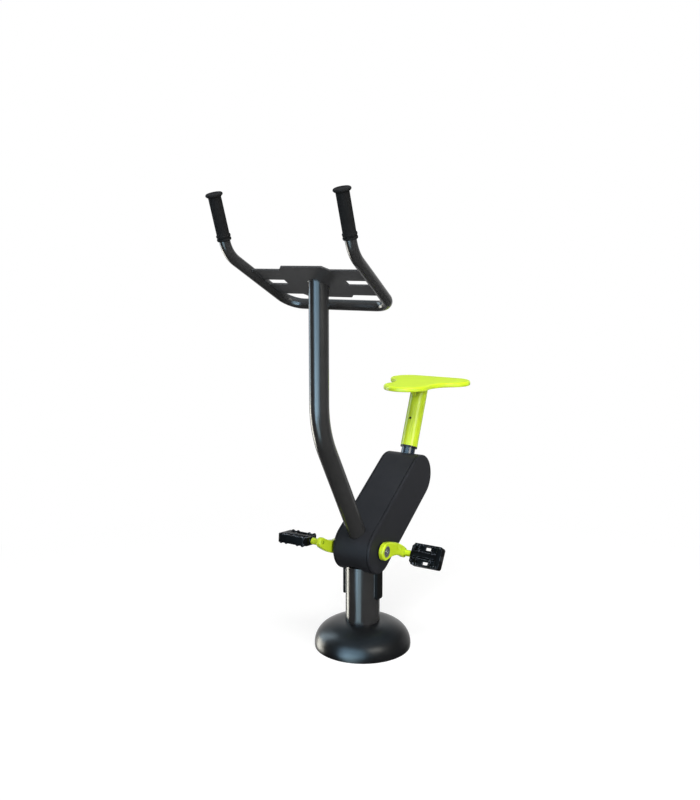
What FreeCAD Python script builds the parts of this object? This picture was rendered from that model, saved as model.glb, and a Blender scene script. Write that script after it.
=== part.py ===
import FreeCAD, Part
import math
import os

import Sketcher

# Outdoor exercise bike: a post on a bolted flange, a drive housing with cranks and pedals,
# a stem with a U-shaped handlebar and a saddle on a sliding sleeve.
# Lengths in millimetres, angles in degrees.
# Origin on the ground at the post's centre, +Z up, front towards -Y, the rider's left towards +X.

os.makedirs("parts", exist_ok=True)
doc = FreeCAD.newDocument("exercise_bike")
sheet = doc.addObject("Spreadsheet::Sheet", "sizes")

DRIVING_SIZES = {
    # Base and post
    "flange_rad": "140",
    "flange_thick": "12",
    "anchor_ring_rad": "112",
    "anchor_hole_dia": "15",
    "cover_foot_rad": "161",
    "cover_foot_bend": "66",
    "cover_top_bend": "132",
    "cover_wide_at": "9",
    "cover_wall": "3",
    "cover_gap": "0.5",
    "post_dia": "114.3",
    "post_wall": "5",
    "post_drop": "65",
    "cap_thick": "8",
    # Crank axis, bearing plates and shells
    "axle_high": "335",
    "axle_dia": "20",
    "run_fit": "0.05",
    "plate_thick": "12",
    "plate_half": "17.5",
    "plate_lap": "100",
    "plate_corner": "6",
    "plate_eye_rad": "32",
    "crank_bearing_rad": "21",
    "shell_rad": "35",
    "shell_bore_rad": "25",
    "shell_gap": "2",
    "support_half": "24",
    # Housing
    "house_rad": "77.5",
    "house_half": "70",
    "house_slope": "34",
    "house_span": "340",
    "house_wall": "4",
    "cover_deep": "8.5",
    "cover_round": "6",
    "seam_wide": "2.5",
    "seam_deep": "2",
    "pass_gap": "0.6",
    "cover_hole_rad": "16",
    # Spine, upper shell and mast
    "spine_half_high": "22",
    "spine_half_wide": "16",
    "spine_wall": "3",
    "upper_rad": "25",
    "upper_gap": "4",
    "upper_bearing_rad": "16",
    "upper_bearing_wide": "9",
    "mast_dia": "48.3",
    "mast_wall": "4",
    "mast_short": "20.5",
    "mast_lean": "21.5",
    "lock_hole_dia": "9",
    "lock_at": "200",
    "lock_pitch": "30",
    # Stem
    "stem_dia": "60.3",
    "stem_wall": "3.6",
    "stem_lean": "30.6",
    "stem_ahead": "257",
    "stem_bend": "300",
    # Handlebar, plate and grips
    "bar_dia": "33",
    "bar_wall": "2.6",
    "bar_rise": "29.4",
    "bar_base_ahead": "142",
    "bar_base_high": "1142",
    "bar_base_half": "182",
    "bar_corner": "58",
    "bar_top_half": "213",
    "bar_top_ahead": "412",
    "bar_top_bend": "100",
    "grip_lean": "18.5",
    "grip_start": "41.5",
    "grip_long": "128.5",
    "grip_dia": "37.5",
    "grip_flange_dia": "50",
    "grip_flange_thick": "9",
    "grip_collar_dia": "42",
    "grip_collar_wide": "7",
    "grip_collar_gap": "3",
    "console_thick": "5",
    "console_back": "72",
    "console_front": "220",
    "console_tab_front": "239",
    "console_tab_half": "70",
    "console_tab_foot": "87",
    "console_step_back": "57",
    "console_step_half": "76",
    "console_step_foot": "89",
    "slot_long": "71",
    "slot_edge": "2.7",
    "slot_back": "132",
    "slot_front": "161",
    # Saddle assembly, measured along the mast from the upper shell's axis
    "sleeve_dia": "60.3",
    "sleeve_wall": "3.6",
    "sleeve_low": "103",
    "bush_lip": "5",
    "bush_long": "70",
    "saddle_at": "326.1",
    "saddle_thick": "17",
    "saddle_round": "7",
    "saddle_under_round": "4",
    "nose_rad": "80",
    "nose_ahead": "105",
    "lobe_rad": "72",
    "lobe_half": "154",
    "lobe_behind": "77",
    "waist_rad": "110",
    "pan_half_wide": "55",
    "pan_half_long": "70",
    "pan_thick": "5",
    "pan_screw_dia": "6",
    "pan_screw_long": "14",
    "pan_screw_inset": "14",
    "pan_head_high": "3.6",
    "gusset_thick": "6",
    "gusset_ahead": "75",
    "gusset_drop": "60",
    "gusset_lip": "6",
    # Cranks and pedals
    "crank_long": "129",
    "crank_dip": "16.4",
    "crank_gap": "5",
    "crank_thick": "18",
    "crank_hub_rad": "29",
    "crank_eye_rad": "17",
    "crank_upper_bend": "270",
    "crank_lower_bend": "150",
    "crank_round": "4",
    "disc_rad": "19",
    "disc_thick": "3.5",
    "disc_sunk": "1.5",
    "boss_rad": "11",
    "boss_long": "24",
    "boss_gap": "3.2",
    "spindle_dia": "12",
    "spindle_head_rad": "9",
    "spindle_head_thick": "5",
    "pedal_half_long": "55.2",
    "pedal_half_wide": "37.5",
    "pedal_half_thick": "14.1",
    "pedal_corner": "11",
    "pedal_tip_corner": "5",
    "pedal_web_half": "4",
    "pedal_rim": "6",
    "pedal_rib": "4",
    "pedal_rib_in": "31",
    "pedal_rib_out": "17",
    "pedal_end": "19",
    "pedal_barrel_rad": "12.5",
    "pedal_play": "0.6",
    "tread_rad": "6",
    "tread_high": "3.5",
    "tread_in": "13",
    "tread_pitch": "20",
    "tread_set": "1",
    "window_half_long": "10",
    "window_half_wide": "6",
    "window_off": "25.3",
    "pedal_left_tilt": "60",
    "pedal_right_tilt": "-5.5",
    # Belt drive, flywheel and brake
    "drive_wide": "15",
    "drive_gap": "6",
    "drive_rad": "50",
    "driven_rad": "16",
    "drive_lip": "3",
    "belt_thick": "3",
    "belt_wide": "10",
    "belt_gap": "0.3",
    "fly_edge": "19.5",
    "fly_wide": "23",
    "fly_gap": "2",
    "fly_rim": "18",
    "fly_hub_rad": "20",
    "fly_dish": "6",
    "fly_axle_dia": "15",
    "fly_axle_short": "10",
    "fly_nut_rad": "13",
    "fly_nut_thick": "7",
    "magnet_rad": "9",
    "magnet_thick": "7",
    "magnet_gap": "2",
    "brake_plate_half": "20",
    # Cover bolts
    "tie_dia": "6",
    "tie_head_rad": "5.5",
    "tie_head_thick": "3",
    "tie_boss_rad": "8",
    "tie_boss_long": "15",
    "tie_mid_edge": "17.5",
    "tie_tip_edge": "12.5",
    "tie_tip_off": "21",
}

for row, (alias, text) in enumerate(DRIVING_SIZES.items(), start=1):
    sheet.set(f"A{row}", alias)
    sheet.set(f"B{row}", text)
    sheet.setAlias(f"B{row}", alias)
doc.recompute()


class Size:
    """A value together with the sheet expression that drives it."""

    def __init__(self, value, text):
        self.value = value
        self.text = text

    def __add__(self, other):
        other = as_size(other)
        return Size(self.value + other.value, f"({self.text} + {other.text})")

    def __sub__(self, other):
        other = as_size(other)
        return Size(self.value - other.value, f"({self.text} - {other.text})")

    def __mul__(self, other):
        other = as_size(other)
        return Size(self.value * other.value, f"({self.text} * {other.text})")

    def __truediv__(self, other):
        other = as_size(other)
        return Size(self.value / other.value, f"({self.text} / {other.text})")

    def __neg__(self):
        return Size(-self.value, f"(0 - {self.text})")


def as_size(number):
    """Plain numbers become sizes without a sheet cell."""
    if isinstance(number, Size):
        return number
    return Size(float(number), repr(float(number)))


def root(size):
    """Square root."""
    return Size(math.sqrt(size.value), f"sqrt({size.text})")


def sine(angle):
    """Sine of an angle in degrees."""
    return Size(math.sin(math.radians(angle.value)), f"sin({angle.text})")


def cosine(angle):
    """Cosine of an angle in degrees."""
    return Size(math.cos(math.radians(angle.value)), f"cos({angle.text})")


def tangent(angle):
    """Tangent of an angle in degrees."""
    return sine(angle) / cosine(angle)


S = {alias: Size(float(sheet.get(alias)), f"sizes.{alias}") for alias in DRIVING_SIZES}
ZERO = as_size(0)
X_AXIS = FreeCAD.Vector(1, 0, 0)
Y_AXIS = FreeCAD.Vector(0, 1, 0)
Z_AXIS = FreeCAD.Vector(0, 0, 1)

# Values used by several pieces
POST_RAD = S["post_dia"] / 2
AXLE_RAD = S["axle_dia"] / 2
CRANK_IN = S["house_half"] + S["crank_gap"]
CRANK_OUT = CRANK_IN + S["crank_thick"]
AXLE_HALF = CRANK_OUT - S["disc_sunk"] - S["disc_thick"]
BOSS_END = CRANK_OUT + S["boss_long"]
PEDAL_MID = BOSS_END + S["boss_gap"] + S["pedal_half_long"]
STEM_RAD = S["stem_dia"] / 2
BAR_RAD = S["bar_dia"] / 2
MAST_RAD = S["mast_dia"] / 2
SLEEVE_RAD = S["sleeve_dia"] / 2
SLEEVE_BORE_RAD = SLEEVE_RAD - S["sleeve_wall"]
POST_TOP = S["axle_high"] - S["post_drop"]
CAP_TOP = POST_TOP + S["cap_thick"]
PLATE_OUT = S["house_half"] - S["house_wall"]
PLATE_IN = PLATE_OUT - S["plate_thick"]
PLATE_LOW = POST_TOP - S["plate_lap"]
UPPER_Y = S["house_span"] * cosine(S["house_slope"])
UPPER_Z = S["axle_high"] + S["house_span"] * sine(S["house_slope"])
BAND_HALF = S["house_half"] - S["cover_deep"]
HOUSE_INSIDE = S["house_rad"] - S["house_wall"]
FLY_AXLE_RAD = S["fly_axle_dia"] / 2
SPINDLE_RAD = S["spindle_dia"] / 2
PEDAL_Y = S["crank_long"] * cosine(S["crank_dip"])
PEDAL_Z = S["crank_long"] * sine(S["crank_dip"])
DRIVE_OUT = PLATE_IN - S["drive_gap"]
DRIVE_IN = DRIVE_OUT - S["drive_wide"]
DRIVE_MID = (DRIVE_IN + DRIVE_OUT) / 2
SHELL_RIGHT = DRIVE_IN - S["shell_gap"]
FLY_OUT = PLATE_IN - S["fly_gap"]
FLY_IN = FLY_OUT - S["fly_wide"]
FLY_RAD = S["house_rad"] - S["fly_edge"]
UPPER_HALF = FLY_IN - S["upper_gap"]
BELT_RAD = S["drive_rad"] + S["belt_gap"]
BELT_SMALL_RAD = S["driven_rad"] + S["belt_gap"]
SADDLE_LOW = UPPER_Z + S["saddle_at"] * cosine(S["mast_lean"])
SADDLE_Y = UPPER_Y + S["saddle_at"] * sine(S["mast_lean"])
# Longer than any piece that a cutting shape has to pass through
REACH = as_size(600)
LOCK_STEPS = 4


def bind(obj, path, size):
    """Drive one property of an object from the sheet."""
    obj.setExpression(path, as_size(size).text)


def place(obj, x=ZERO, y=ZERO, z=ZERO, axis=None, angle=None):
    """Put an object at a point, turned about one axis."""
    if axis is not None:
        obj.Placement = FreeCAD.Placement(FreeCAD.Vector(), FreeCAD.Rotation(axis, as_size(angle).value))
        bind(obj, "Placement.Rotation.Angle", angle)
    for letter, size in (("x", x), ("y", y), ("z", z)):
        if as_size(size).text != ZERO.text:
            bind(obj, f"Placement.Base.{letter}", size)
    return obj


def cylinder(name, radius, height, **where):
    """Round bar along the local Z axis."""
    bar = doc.addObject("Part::Cylinder", name)
    bind(bar, "Radius", radius)
    bind(bar, "Height", height)
    return place(bar, **where)


def cross_bar(name, radius, start, end, y=ZERO, z=ZERO):
    """Round bar along X between two X positions."""
    return cylinder(name, radius, end - start, x=start, y=y, z=z, axis=Y_AXIS, angle=90)


def box(name, length, width, height, **where):
    """Block from its corner along the local axes."""
    block = doc.addObject("Part::Box", name)
    bind(block, "Length", length)
    bind(block, "Width", width)
    bind(block, "Height", height)
    return place(block, **where)


def cut(name, base, *tools):
    """Base shape less every tool shape."""
    for index, tool in enumerate(tools, start=1):
        last = index == len(tools)
        result = doc.addObject("Part::Cut", name if last else f"{name}_step{index}")
        result.Base = base
        result.Tool = tool
        base = result
    return base


def fuse(name, *shapes):
    """One solid from several shapes."""
    result = doc.addObject("Part::MultiFuse", name)
    result.Shapes = list(shapes)
    result.Refine = True
    return result


def group(name, shapes):
    """Separate equal solids that share one node."""
    result = doc.addObject("Part::Compound", name)
    result.Links = list(shapes)
    return result


def new_body(name, **where):
    """Empty part body at its place."""
    return place(doc.addObject("PartDesign::Body", name), **where)


def new_sketch(body, name, role="XY_Plane", offset=None):
    """Sketch on one of the body's origin planes, lifted along the plane's normal."""
    sketch = body.newObject("Sketcher::SketchObject", name)
    plane = next(feature for feature in body.Origin.OriginFeatures if feature.Role == role)
    sketch.AttachmentSupport = [(plane, "")]
    sketch.MapMode = "FlatFace"
    if offset is not None:
        bind(sketch, "AttachmentOffset.Base.z", offset)
    return sketch


def pin_point(sketch, geometry, position, x, y):
    """Fix a sketch point at sheet-driven coordinates."""
    for kind, size, axis in (("DistanceX", x, -2), ("DistanceY", y, -1)):
        size = as_size(size)
        if size.text == ZERO.text:
            sketch.addConstraint(Sketcher.Constraint("PointOnObject", geometry, position, axis))
            continue
        index = sketch.addConstraint(Sketcher.Constraint(kind, -1, 1, geometry, position, size.value))
        bind(sketch, f"Constraints[{index}]", size)


def add_circle(sketch, x, y, radius):
    """Sheet-driven circle in a sketch."""
    centre = FreeCAD.Vector(as_size(x).value, as_size(y).value, 0)
    geometry = sketch.addGeometry(Part.Circle(centre, Z_AXIS, radius.value), False)
    index = sketch.addConstraint(Sketcher.Constraint("Radius", geometry, radius.value))
    bind(sketch, f"Constraints[{index}]", radius)
    pin_point(sketch, geometry, 3, x, y)


def arc_between(start, end, radius, side):
    """Short arc from start to end; side +1 bends with its centre on the left, -1 on the right."""
    chord = end - start
    half = chord.Length / 2
    rise = math.sqrt(max(radius * radius - half * half, 0.0))
    left = FreeCAD.Vector(-chord.y, chord.x, 0).normalize()
    centre = (start + end) * 0.5 + left * (rise * side)
    from_angle = math.atan2(start.y - centre.y, start.x - centre.x)
    to_angle = math.atan2(end.y - centre.y, end.x - centre.x)
    circle = Part.Circle(centre, Z_AXIS, radius)
    if side > 0:
        return Part.ArcOfCircle(circle, from_angle, to_angle)
    return Part.ArcOfCircle(circle, to_angle, from_angle)


def add_outline(sketch, corners, closed=True):
    """Outline through corners (x, y) or (x, y, radius, side), where a radius bends the next stretch."""
    points = [FreeCAD.Vector(as_size(c[0]).value, as_size(c[1]).value, 0) for c in corners]
    stretches = len(corners) if closed else len(corners) - 1
    ends = []
    for index in range(stretches):
        corner = corners[index]
        start = points[index]
        end = points[(index + 1) % len(points)]
        if len(corner) == 2:
            geometry = sketch.addGeometry(Part.LineSegment(start, end), False)
            ends.append((geometry, 1, 2))
        else:
            radius, side = corner[2], corner[3]
            geometry = sketch.addGeometry(arc_between(start, end, radius.value, side), False)
            ends.append((geometry, 1, 2) if side > 0 else (geometry, 2, 1))
    for index, (geometry, first, last) in enumerate(ends):
        pin_point(sketch, geometry, first, corners[index][0], corners[index][1])
        if len(corners[index]) > 2:
            radius = corners[index][2]
            row = sketch.addConstraint(Sketcher.Constraint("Radius", geometry, radius.value))
            bind(sketch, f"Constraints[{row}]", radius)
        if closed or index + 1 < len(ends):
            after, after_first, _ = ends[(index + 1) % len(ends)]
            sketch.addConstraint(Sketcher.Constraint("Coincident", geometry, last, after, after_first))
        else:
            pin_point(sketch, geometry, last, corners[-1][0], corners[-1][1])


def pad(body, sketch, length, symmetric=False):
    """Material along the sketch's normal."""
    feature = body.newObject("PartDesign::Pad", f"{sketch.Name}_pad")
    feature.Profile = sketch
    bind(feature, "Length", length)
    feature.SideType = "Symmetric" if symmetric else "One side"
    return feature


def pocket(body, sketch, length=None, symmetric=False, backwards=False):
    """Material removed against the sketch's normal, or right through."""
    feature = body.newObject("PartDesign::Pocket", f"{sketch.Name}_pocket")
    feature.Profile = sketch
    feature.SideType = "Symmetric" if symmetric else "One side"
    feature.Reversed = backwards
    if length is None:
        feature.Type = "ThroughAll"
    else:
        bind(feature, "Length", length)
    return feature


def revolve(body, sketch, axis):
    """Full turn about one of the sketch's own axes."""
    feature = body.newObject("PartDesign::Revolution", f"{sketch.Name}_turn")
    feature.Profile = sketch
    feature.ReferenceAxis = (sketch, [axis])
    feature.Angle = 360
    return feature


def round_edges(body, feature, radius, chosen):
    """Fillet the edges of the last feature that a rule picks."""
    doc.recompute()
    names = [f"Edge{i}" for i, edge in enumerate(feature.Shape.Edges, start=1) if chosen(edge)]
    fillet = body.newObject("PartDesign::Fillet", f"{feature.Name}_round")
    fillet.Base = (feature, names)
    bind(fillet, "Radius", radius)
    return fillet


def lies_at(axis, size):
    """Rule for edges that lie in one plane square to an axis of the body."""
    def rule(edge):
        bounds = edge.BoundBox
        low, high = (bounds.XMin, bounds.XMax) if axis == "x" else (bounds.ZMin, bounds.ZMax)
        return abs(low - size.value) < 1e-3 and abs(high - size.value) < 1e-3
    return rule


def obround(sketch, radius, length):
    """Outline of two half rounds joined by straight flanks, its first centre at the origin."""
    add_outline(sketch, [
        (ZERO, -radius),
        (length, -radius, radius, 1),
        (length + radius, ZERO, radius, 1),
        (length, radius),
        (ZERO, radius, radius, 1),
        (-radius, ZERO, radius, 1),
    ])


def square_block(sketch, x_low, x_high, y_low, y_high):
    """Rectangle between two corners."""
    add_outline(sketch, [(x_low, y_low), (x_high, y_low), (x_high, y_high), (x_low, y_high)])


# Base and post

def make_base_flange():
    body = new_body("base_flange")
    sketch = new_sketch(body, "flange_outline")
    add_circle(sketch, ZERO, ZERO, S["flange_rad"])
    for x_side, y_side in ((1, 1), (-1, 1), (-1, -1), (1, -1)):
        reach = S["anchor_ring_rad"] / root(as_size(2))
        add_circle(sketch, reach * x_side, reach * y_side, S["anchor_hole_dia"] / 2)
    pad(body, sketch, S["flange_thick"])
    return body


def make_base_cover():
    body = new_body("base_cover")
    sketch = new_sketch(body, "dome_section", "XZ_Plane")
    foot = S["cover_foot_bend"]
    top = S["cover_top_bend"]
    wall = S["cover_wall"]
    hole = POST_RAD + S["cover_gap"]
    foot_x = S["cover_foot_rad"] - foot
    foot_z = S["cover_wide_at"]
    # The upper bend has its centre below the foot bend's, in line with the point where they meet.
    drop_x = foot_x - POST_RAD
    drop_z = root((top - foot) * (top - foot) - drop_x * drop_x)
    top_x = POST_RAD
    top_z = foot_z - drop_z
    share = drop_x / (top - foot)
    rise = drop_z / (top - foot)

    def corner_on(radius):
        return top_x + share * radius, top_z + rise * radius

    def rim_x(radius):
        return foot_x + root(radius * radius - foot_z * foot_z)

    def crown_z(radius):
        return top_z + root(radius * radius - S["cover_gap"] * S["cover_gap"])

    outer_x, outer_z = corner_on(top)
    inner_x, inner_z = corner_on(top - wall)
    add_outline(sketch, [
        (rim_x(foot), ZERO, foot, 1),
        (outer_x, outer_z, top, 1),
        (hole, crown_z(top)),
        (hole, crown_z(top - wall), top - wall, -1),
        (inner_x, inner_z, foot - wall, -1),
        (rim_x(foot - wall), ZERO),
    ])
    revolve(body, sketch, "V_Axis")
    return body


def make_post():
    outer = cylinder("post_outer", POST_RAD, POST_TOP - S["flange_thick"], z=S["flange_thick"])
    bore = cylinder("post_bore", POST_RAD - S["post_wall"], POST_TOP)
    return cut("post", outer, bore)


def make_post_cap():
    return cylinder("post_cap", POST_RAD, S["cap_thick"], z=POST_TOP)


def make_bearing_plate(name, side):
    body = new_body(f"{name}_blank")
    inside = PLATE_IN if side > 0 else -PLATE_OUT
    outline = new_sketch(body, f"{name}_outline", "YZ_Plane", inside)
    corner = S["plate_corner"]
    half = S["plate_half"]
    add_outline(outline, [
        (-half + corner, PLATE_LOW),
        (half - corner, PLATE_LOW, corner, 1),
        (half, PLATE_LOW + corner),
        (half, S["axle_high"]),
        (-half, S["axle_high"]),
        (-half, PLATE_LOW + corner, corner, 1),
    ])
    pad(body, outline, S["plate_thick"])
    eye = new_sketch(body, f"{name}_eye", "YZ_Plane", inside)
    add_circle(eye, ZERO, S["axle_high"], S["plate_eye_rad"])
    pad(body, eye, S["plate_thick"])
    bore = new_sketch(body, f"{name}_bore", "YZ_Plane", inside)
    add_circle(bore, ZERO, S["axle_high"], S["crank_bearing_rad"])
    pocket(body, bore, S["plate_thick"], backwards=True)
    cope = cylinder(f"{name}_cope", POST_RAD, CAP_TOP)
    return cut(name, body, cope)


def make_crank_bearings():
    rings = []
    for index, start in enumerate((PLATE_IN, -PLATE_OUT), start=1):
        ring = cross_bar(f"crank_ring_{index}", S["crank_bearing_rad"], start, start + S["plate_thick"],
                         z=S["axle_high"])
        bore = cross_bar(f"crank_ring_bore_{index}", AXLE_RAD + S["run_fit"], -REACH, REACH, z=S["axle_high"])
        rings.append(cut(f"crank_bearing_{index}", ring, bore))
    return group("crank_bearings", rings)


def make_crank_shell():
    tube = cross_bar("shell_tube", S["shell_rad"], -PLATE_IN, SHELL_RIGHT, z=S["axle_high"])
    bore = cross_bar("shell_bore", S["shell_bore_rad"], -REACH, REACH, z=S["axle_high"])
    return cut("crank_shell", tube, bore)


def make_shell_support():
    half = S["support_half"]
    block = box("support_block", PLATE_IN - half + SHELL_RIGHT, half * 2, S["axle_high"] - CAP_TOP,
                x=half - PLATE_IN, y=-half, z=CAP_TOP)
    cope = cross_bar("support_cope", S["shell_rad"], -REACH, REACH, z=S["axle_high"])
    return cut("shell_support", block, cope)


# Housing, in a frame turned about the crank axis so that its length lies along local Y

def housing_body(name):
    return new_body(name, z=S["axle_high"], axis=X_AXIS, angle=S["house_slope"])


def stem_passage(name, radius):
    return cylinder(name, radius, REACH, z=S["axle_high"], axis=X_AXIS, angle=S["stem_lean"])


def mast_bar(name, radius, start, end):
    """Round bar along the mast between two distances from the upper shell's axis."""
    lean = S["mast_lean"]
    return cylinder(name, radius, end - start, y=UPPER_Y + start * sine(lean),
                    z=UPPER_Z + start * cosine(lean), axis=X_AXIS, angle=-lean)


def plate_passage(name):
    wide = S["plate_half"] + S["pass_gap"]
    across = PLATE_OUT + S["pass_gap"]
    return box(name, across * 2, wide * 2, S["axle_high"], x=-across, y=-wide)


def tie_places():
    """Cover bolt centres in the housing's own length and height."""
    span = S["house_span"]
    middle = S["house_rad"] - S["tie_mid_edge"]
    reach = S["house_rad"] - S["tie_tip_edge"]
    tip = root(reach * reach - S["tie_tip_off"] * S["tie_tip_off"])
    return [
        (span / 2, middle),
        (span / 2, -middle),
        (-tip, S["tie_tip_off"]),
        (span + tip, -S["tie_tip_off"]),
    ]


def make_housing_band():
    body = housing_body("band_blank")
    half = BAND_HALF
    outline = new_sketch(body, "band_outline", "YZ_Plane")
    obround(outline, S["house_rad"], S["house_span"])
    pad(body, outline, half * 2, symmetric=True)
    for name, offset in (("seam_left", half - S["seam_wide"]), ("seam_right", -half)):
        seam = new_sketch(body, name, "YZ_Plane", offset)
        obround(seam, S["house_rad"] + S["house_wall"], S["house_span"])
        obround(seam, S["house_rad"] - S["seam_deep"], S["house_span"])
        pocket(body, seam, S["seam_wide"], backwards=True)
    hollow = new_sketch(body, "band_hollow", "YZ_Plane")
    obround(hollow, HOUSE_INSIDE, S["house_span"])
    pocket(body, hollow, half * 4, symmetric=True)
    post_hole = cylinder("band_post_hole", POST_RAD + S["pass_gap"], S["axle_high"])
    stem_hole = stem_passage("band_stem_hole", STEM_RAD + S["pass_gap"])
    mast_hole = mast_bar("band_mast_hole", MAST_RAD + S["pass_gap"], S["upper_rad"], S["house_rad"] * 2)
    return cut("housing_band", body, post_hole, stem_hole, mast_hole, plate_passage("band_plate_hole"))


def make_housing_cover(name, side):
    body = housing_body(f"{name}_blank")
    low = BAND_HALF if side > 0 else -S["house_half"]
    outline = new_sketch(body, f"{name}_outline", "YZ_Plane", low)
    obround(outline, S["house_rad"], S["house_span"])
    blank = pad(body, outline, S["cover_deep"])
    face = S["house_half"] * side
    round_edges(body, blank, S["cover_round"], lies_at("x", face))
    hollow_low = low if side > 0 else low + S["house_wall"]
    hollow = new_sketch(body, f"{name}_hollow", "YZ_Plane", hollow_low)
    obround(hollow, HOUSE_INSIDE, S["house_span"])
    pocket(body, hollow, S["cover_deep"] - S["house_wall"], backwards=True)
    hole = new_sketch(body, f"{name}_hole", "YZ_Plane", low)
    add_circle(hole, ZERO, ZERO, S["cover_hole_rad"])
    pocket(body, hole, S["cover_deep"], backwards=True)
    ties = new_sketch(body, f"{name}_ties", "YZ_Plane")
    for along, up in tie_places():
        if side > 0:
            add_circle(ties, along, up, S["tie_boss_rad"])
        else:
            add_circle(ties, along, up, S["tie_dia"] / 2 + S["pass_gap"])
    if side > 0:
        start = S["house_half"] - S["house_wall"] - S["tie_boss_long"]
        bind(ties, "AttachmentOffset.Base.z", start)
        pad(body, ties, S["tie_boss_long"] + S["house_wall"] / 2)
        bores = new_sketch(body, f"{name}_bores", "YZ_Plane", start)
        for along, up in tie_places():
            add_circle(bores, along, up, S["tie_dia"] / 2)
        pocket(body, bores, S["tie_boss_long"], backwards=True)
    else:
        bind(ties, "AttachmentOffset.Base.z", low)
        pocket(body, ties, S["house_wall"], backwards=True)
    return cut(name, body, plate_passage(f"{name}_plate_hole"))


def make_cover_bolts():
    bolts = []
    slope = S["house_slope"]
    end = S["house_half"] - S["house_wall"]
    for index, (along, up) in enumerate(tie_places(), start=1):
        y = along * cosine(slope) - up * sine(slope)
        z = S["axle_high"] + along * sine(slope) + up * cosine(slope)
        face = -S["house_half"]
        shank = cross_bar(f"tie_shank_{index}", S["tie_dia"] / 2, face, end, y=y, z=z)
        head = cross_bar(f"tie_head_{index}", S["tie_head_rad"], face - S["tie_head_thick"], face, y=y, z=z)
        bolts.append(fuse(f"cover_bolt_{index}", shank, head))
    return group("cover_bolts", bolts)


# Spine, upper shell and mast

def make_spine_beam():
    high = S["spine_half_high"]
    wide = S["spine_half_wide"]
    wall = S["spine_wall"]
    where = {"z": S["axle_high"], "axis": X_AXIS, "angle": S["house_slope"]}
    body = new_body("spine_blank", **where)
    section = new_sketch(body, "spine_section", "XZ_Plane")
    square_block(section, -wide, wide, -high, high)
    square_block(section, wall - wide, wide - wall, wall - high, high - wall)
    blank = pad(body, section, S["house_span"])
    blank.Reversed = True
    lower = cross_bar("spine_lower_cope", S["shell_rad"], -REACH, REACH, z=S["axle_high"])
    upper = cross_bar("spine_upper_cope", S["upper_rad"], -REACH, REACH, y=UPPER_Y, z=UPPER_Z)
    return cut("spine_beam", body, lower, upper, stem_passage("spine_stem_cope", STEM_RAD))


def make_drive_shell():
    half = UPPER_HALF
    wide = S["upper_bearing_wide"]
    tube = cross_bar("drive_shell_tube", S["upper_rad"], -half, half, y=UPPER_Y, z=UPPER_Z)
    bore = cross_bar("drive_shell_bore", S["upper_bearing_rad"] - S["spine_wall"], -REACH, REACH,
                     y=UPPER_Y, z=UPPER_Z)
    seat = S["upper_bearing_rad"]
    left = cross_bar("drive_seat_left", seat, half - wide, half * 2, y=UPPER_Y, z=UPPER_Z)
    right = cross_bar("drive_seat_right", seat, half * -2, wide - half, y=UPPER_Y, z=UPPER_Z)
    return cut("drive_shell", tube, bore, left, right)


def make_drive_bearings():
    half = UPPER_HALF
    wide = S["upper_bearing_wide"]
    rings = []
    for index, start in enumerate((half - wide, -half), start=1):
        ring = cross_bar(f"drive_ring_{index}", S["upper_bearing_rad"], start, start + wide,
                         y=UPPER_Y, z=UPPER_Z)
        bore = cross_bar(f"drive_ring_bore_{index}", FLY_AXLE_RAD + S["run_fit"], -REACH, REACH,
                         y=UPPER_Y, z=UPPER_Z)
        rings.append(cut(f"drive_bearing_{index}", ring, bore))
    return group("drive_bearings", rings)


def lock_hole(name, distance):
    """Short bar square to the mast on its front centreline."""
    lean = S["mast_lean"]
    return cylinder(name, S["lock_hole_dia"] / 2, SLEEVE_RAD * 2, y=UPPER_Y + distance * sine(lean),
                    z=UPPER_Z + distance * cosine(lean), axis=X_AXIS, angle=as_size(90) - lean)


def make_seat_mast():
    outer = mast_bar("mast_outer", MAST_RAD, ZERO, S["saddle_at"] - S["mast_short"])
    bore = mast_bar("mast_bore", MAST_RAD - S["mast_wall"], -REACH, REACH)
    cope = cross_bar("mast_cope", S["upper_rad"], -REACH, REACH, y=UPPER_Y, z=UPPER_Z)
    holes = [lock_hole(f"mast_hole_{step}", S["lock_at"] + S["lock_pitch"] * step)
             for step in range(LOCK_STEPS)]
    return cut("seat_mast", outer, bore, cope, *holes)


# Stem, handlebar, console plate and grips

def bar_plane_point(across, along):
    """Point of the handlebar's sloping plane, measured from the middle of its base bar."""
    rise = math.radians(S["bar_rise"].value)
    return FreeCAD.Vector(across, -S["bar_base_ahead"].value - along * math.cos(rise),
                          S["bar_base_high"].value + along * math.sin(rise))


def in_bar_plane(obj):
    """Place an object so that its local Y runs forward and up along the handlebar's plane."""
    return place(obj, y=-S["bar_base_ahead"], z=S["bar_base_high"], axis=X_AXIS,
                 angle=as_size(180) - S["bar_rise"])


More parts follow.
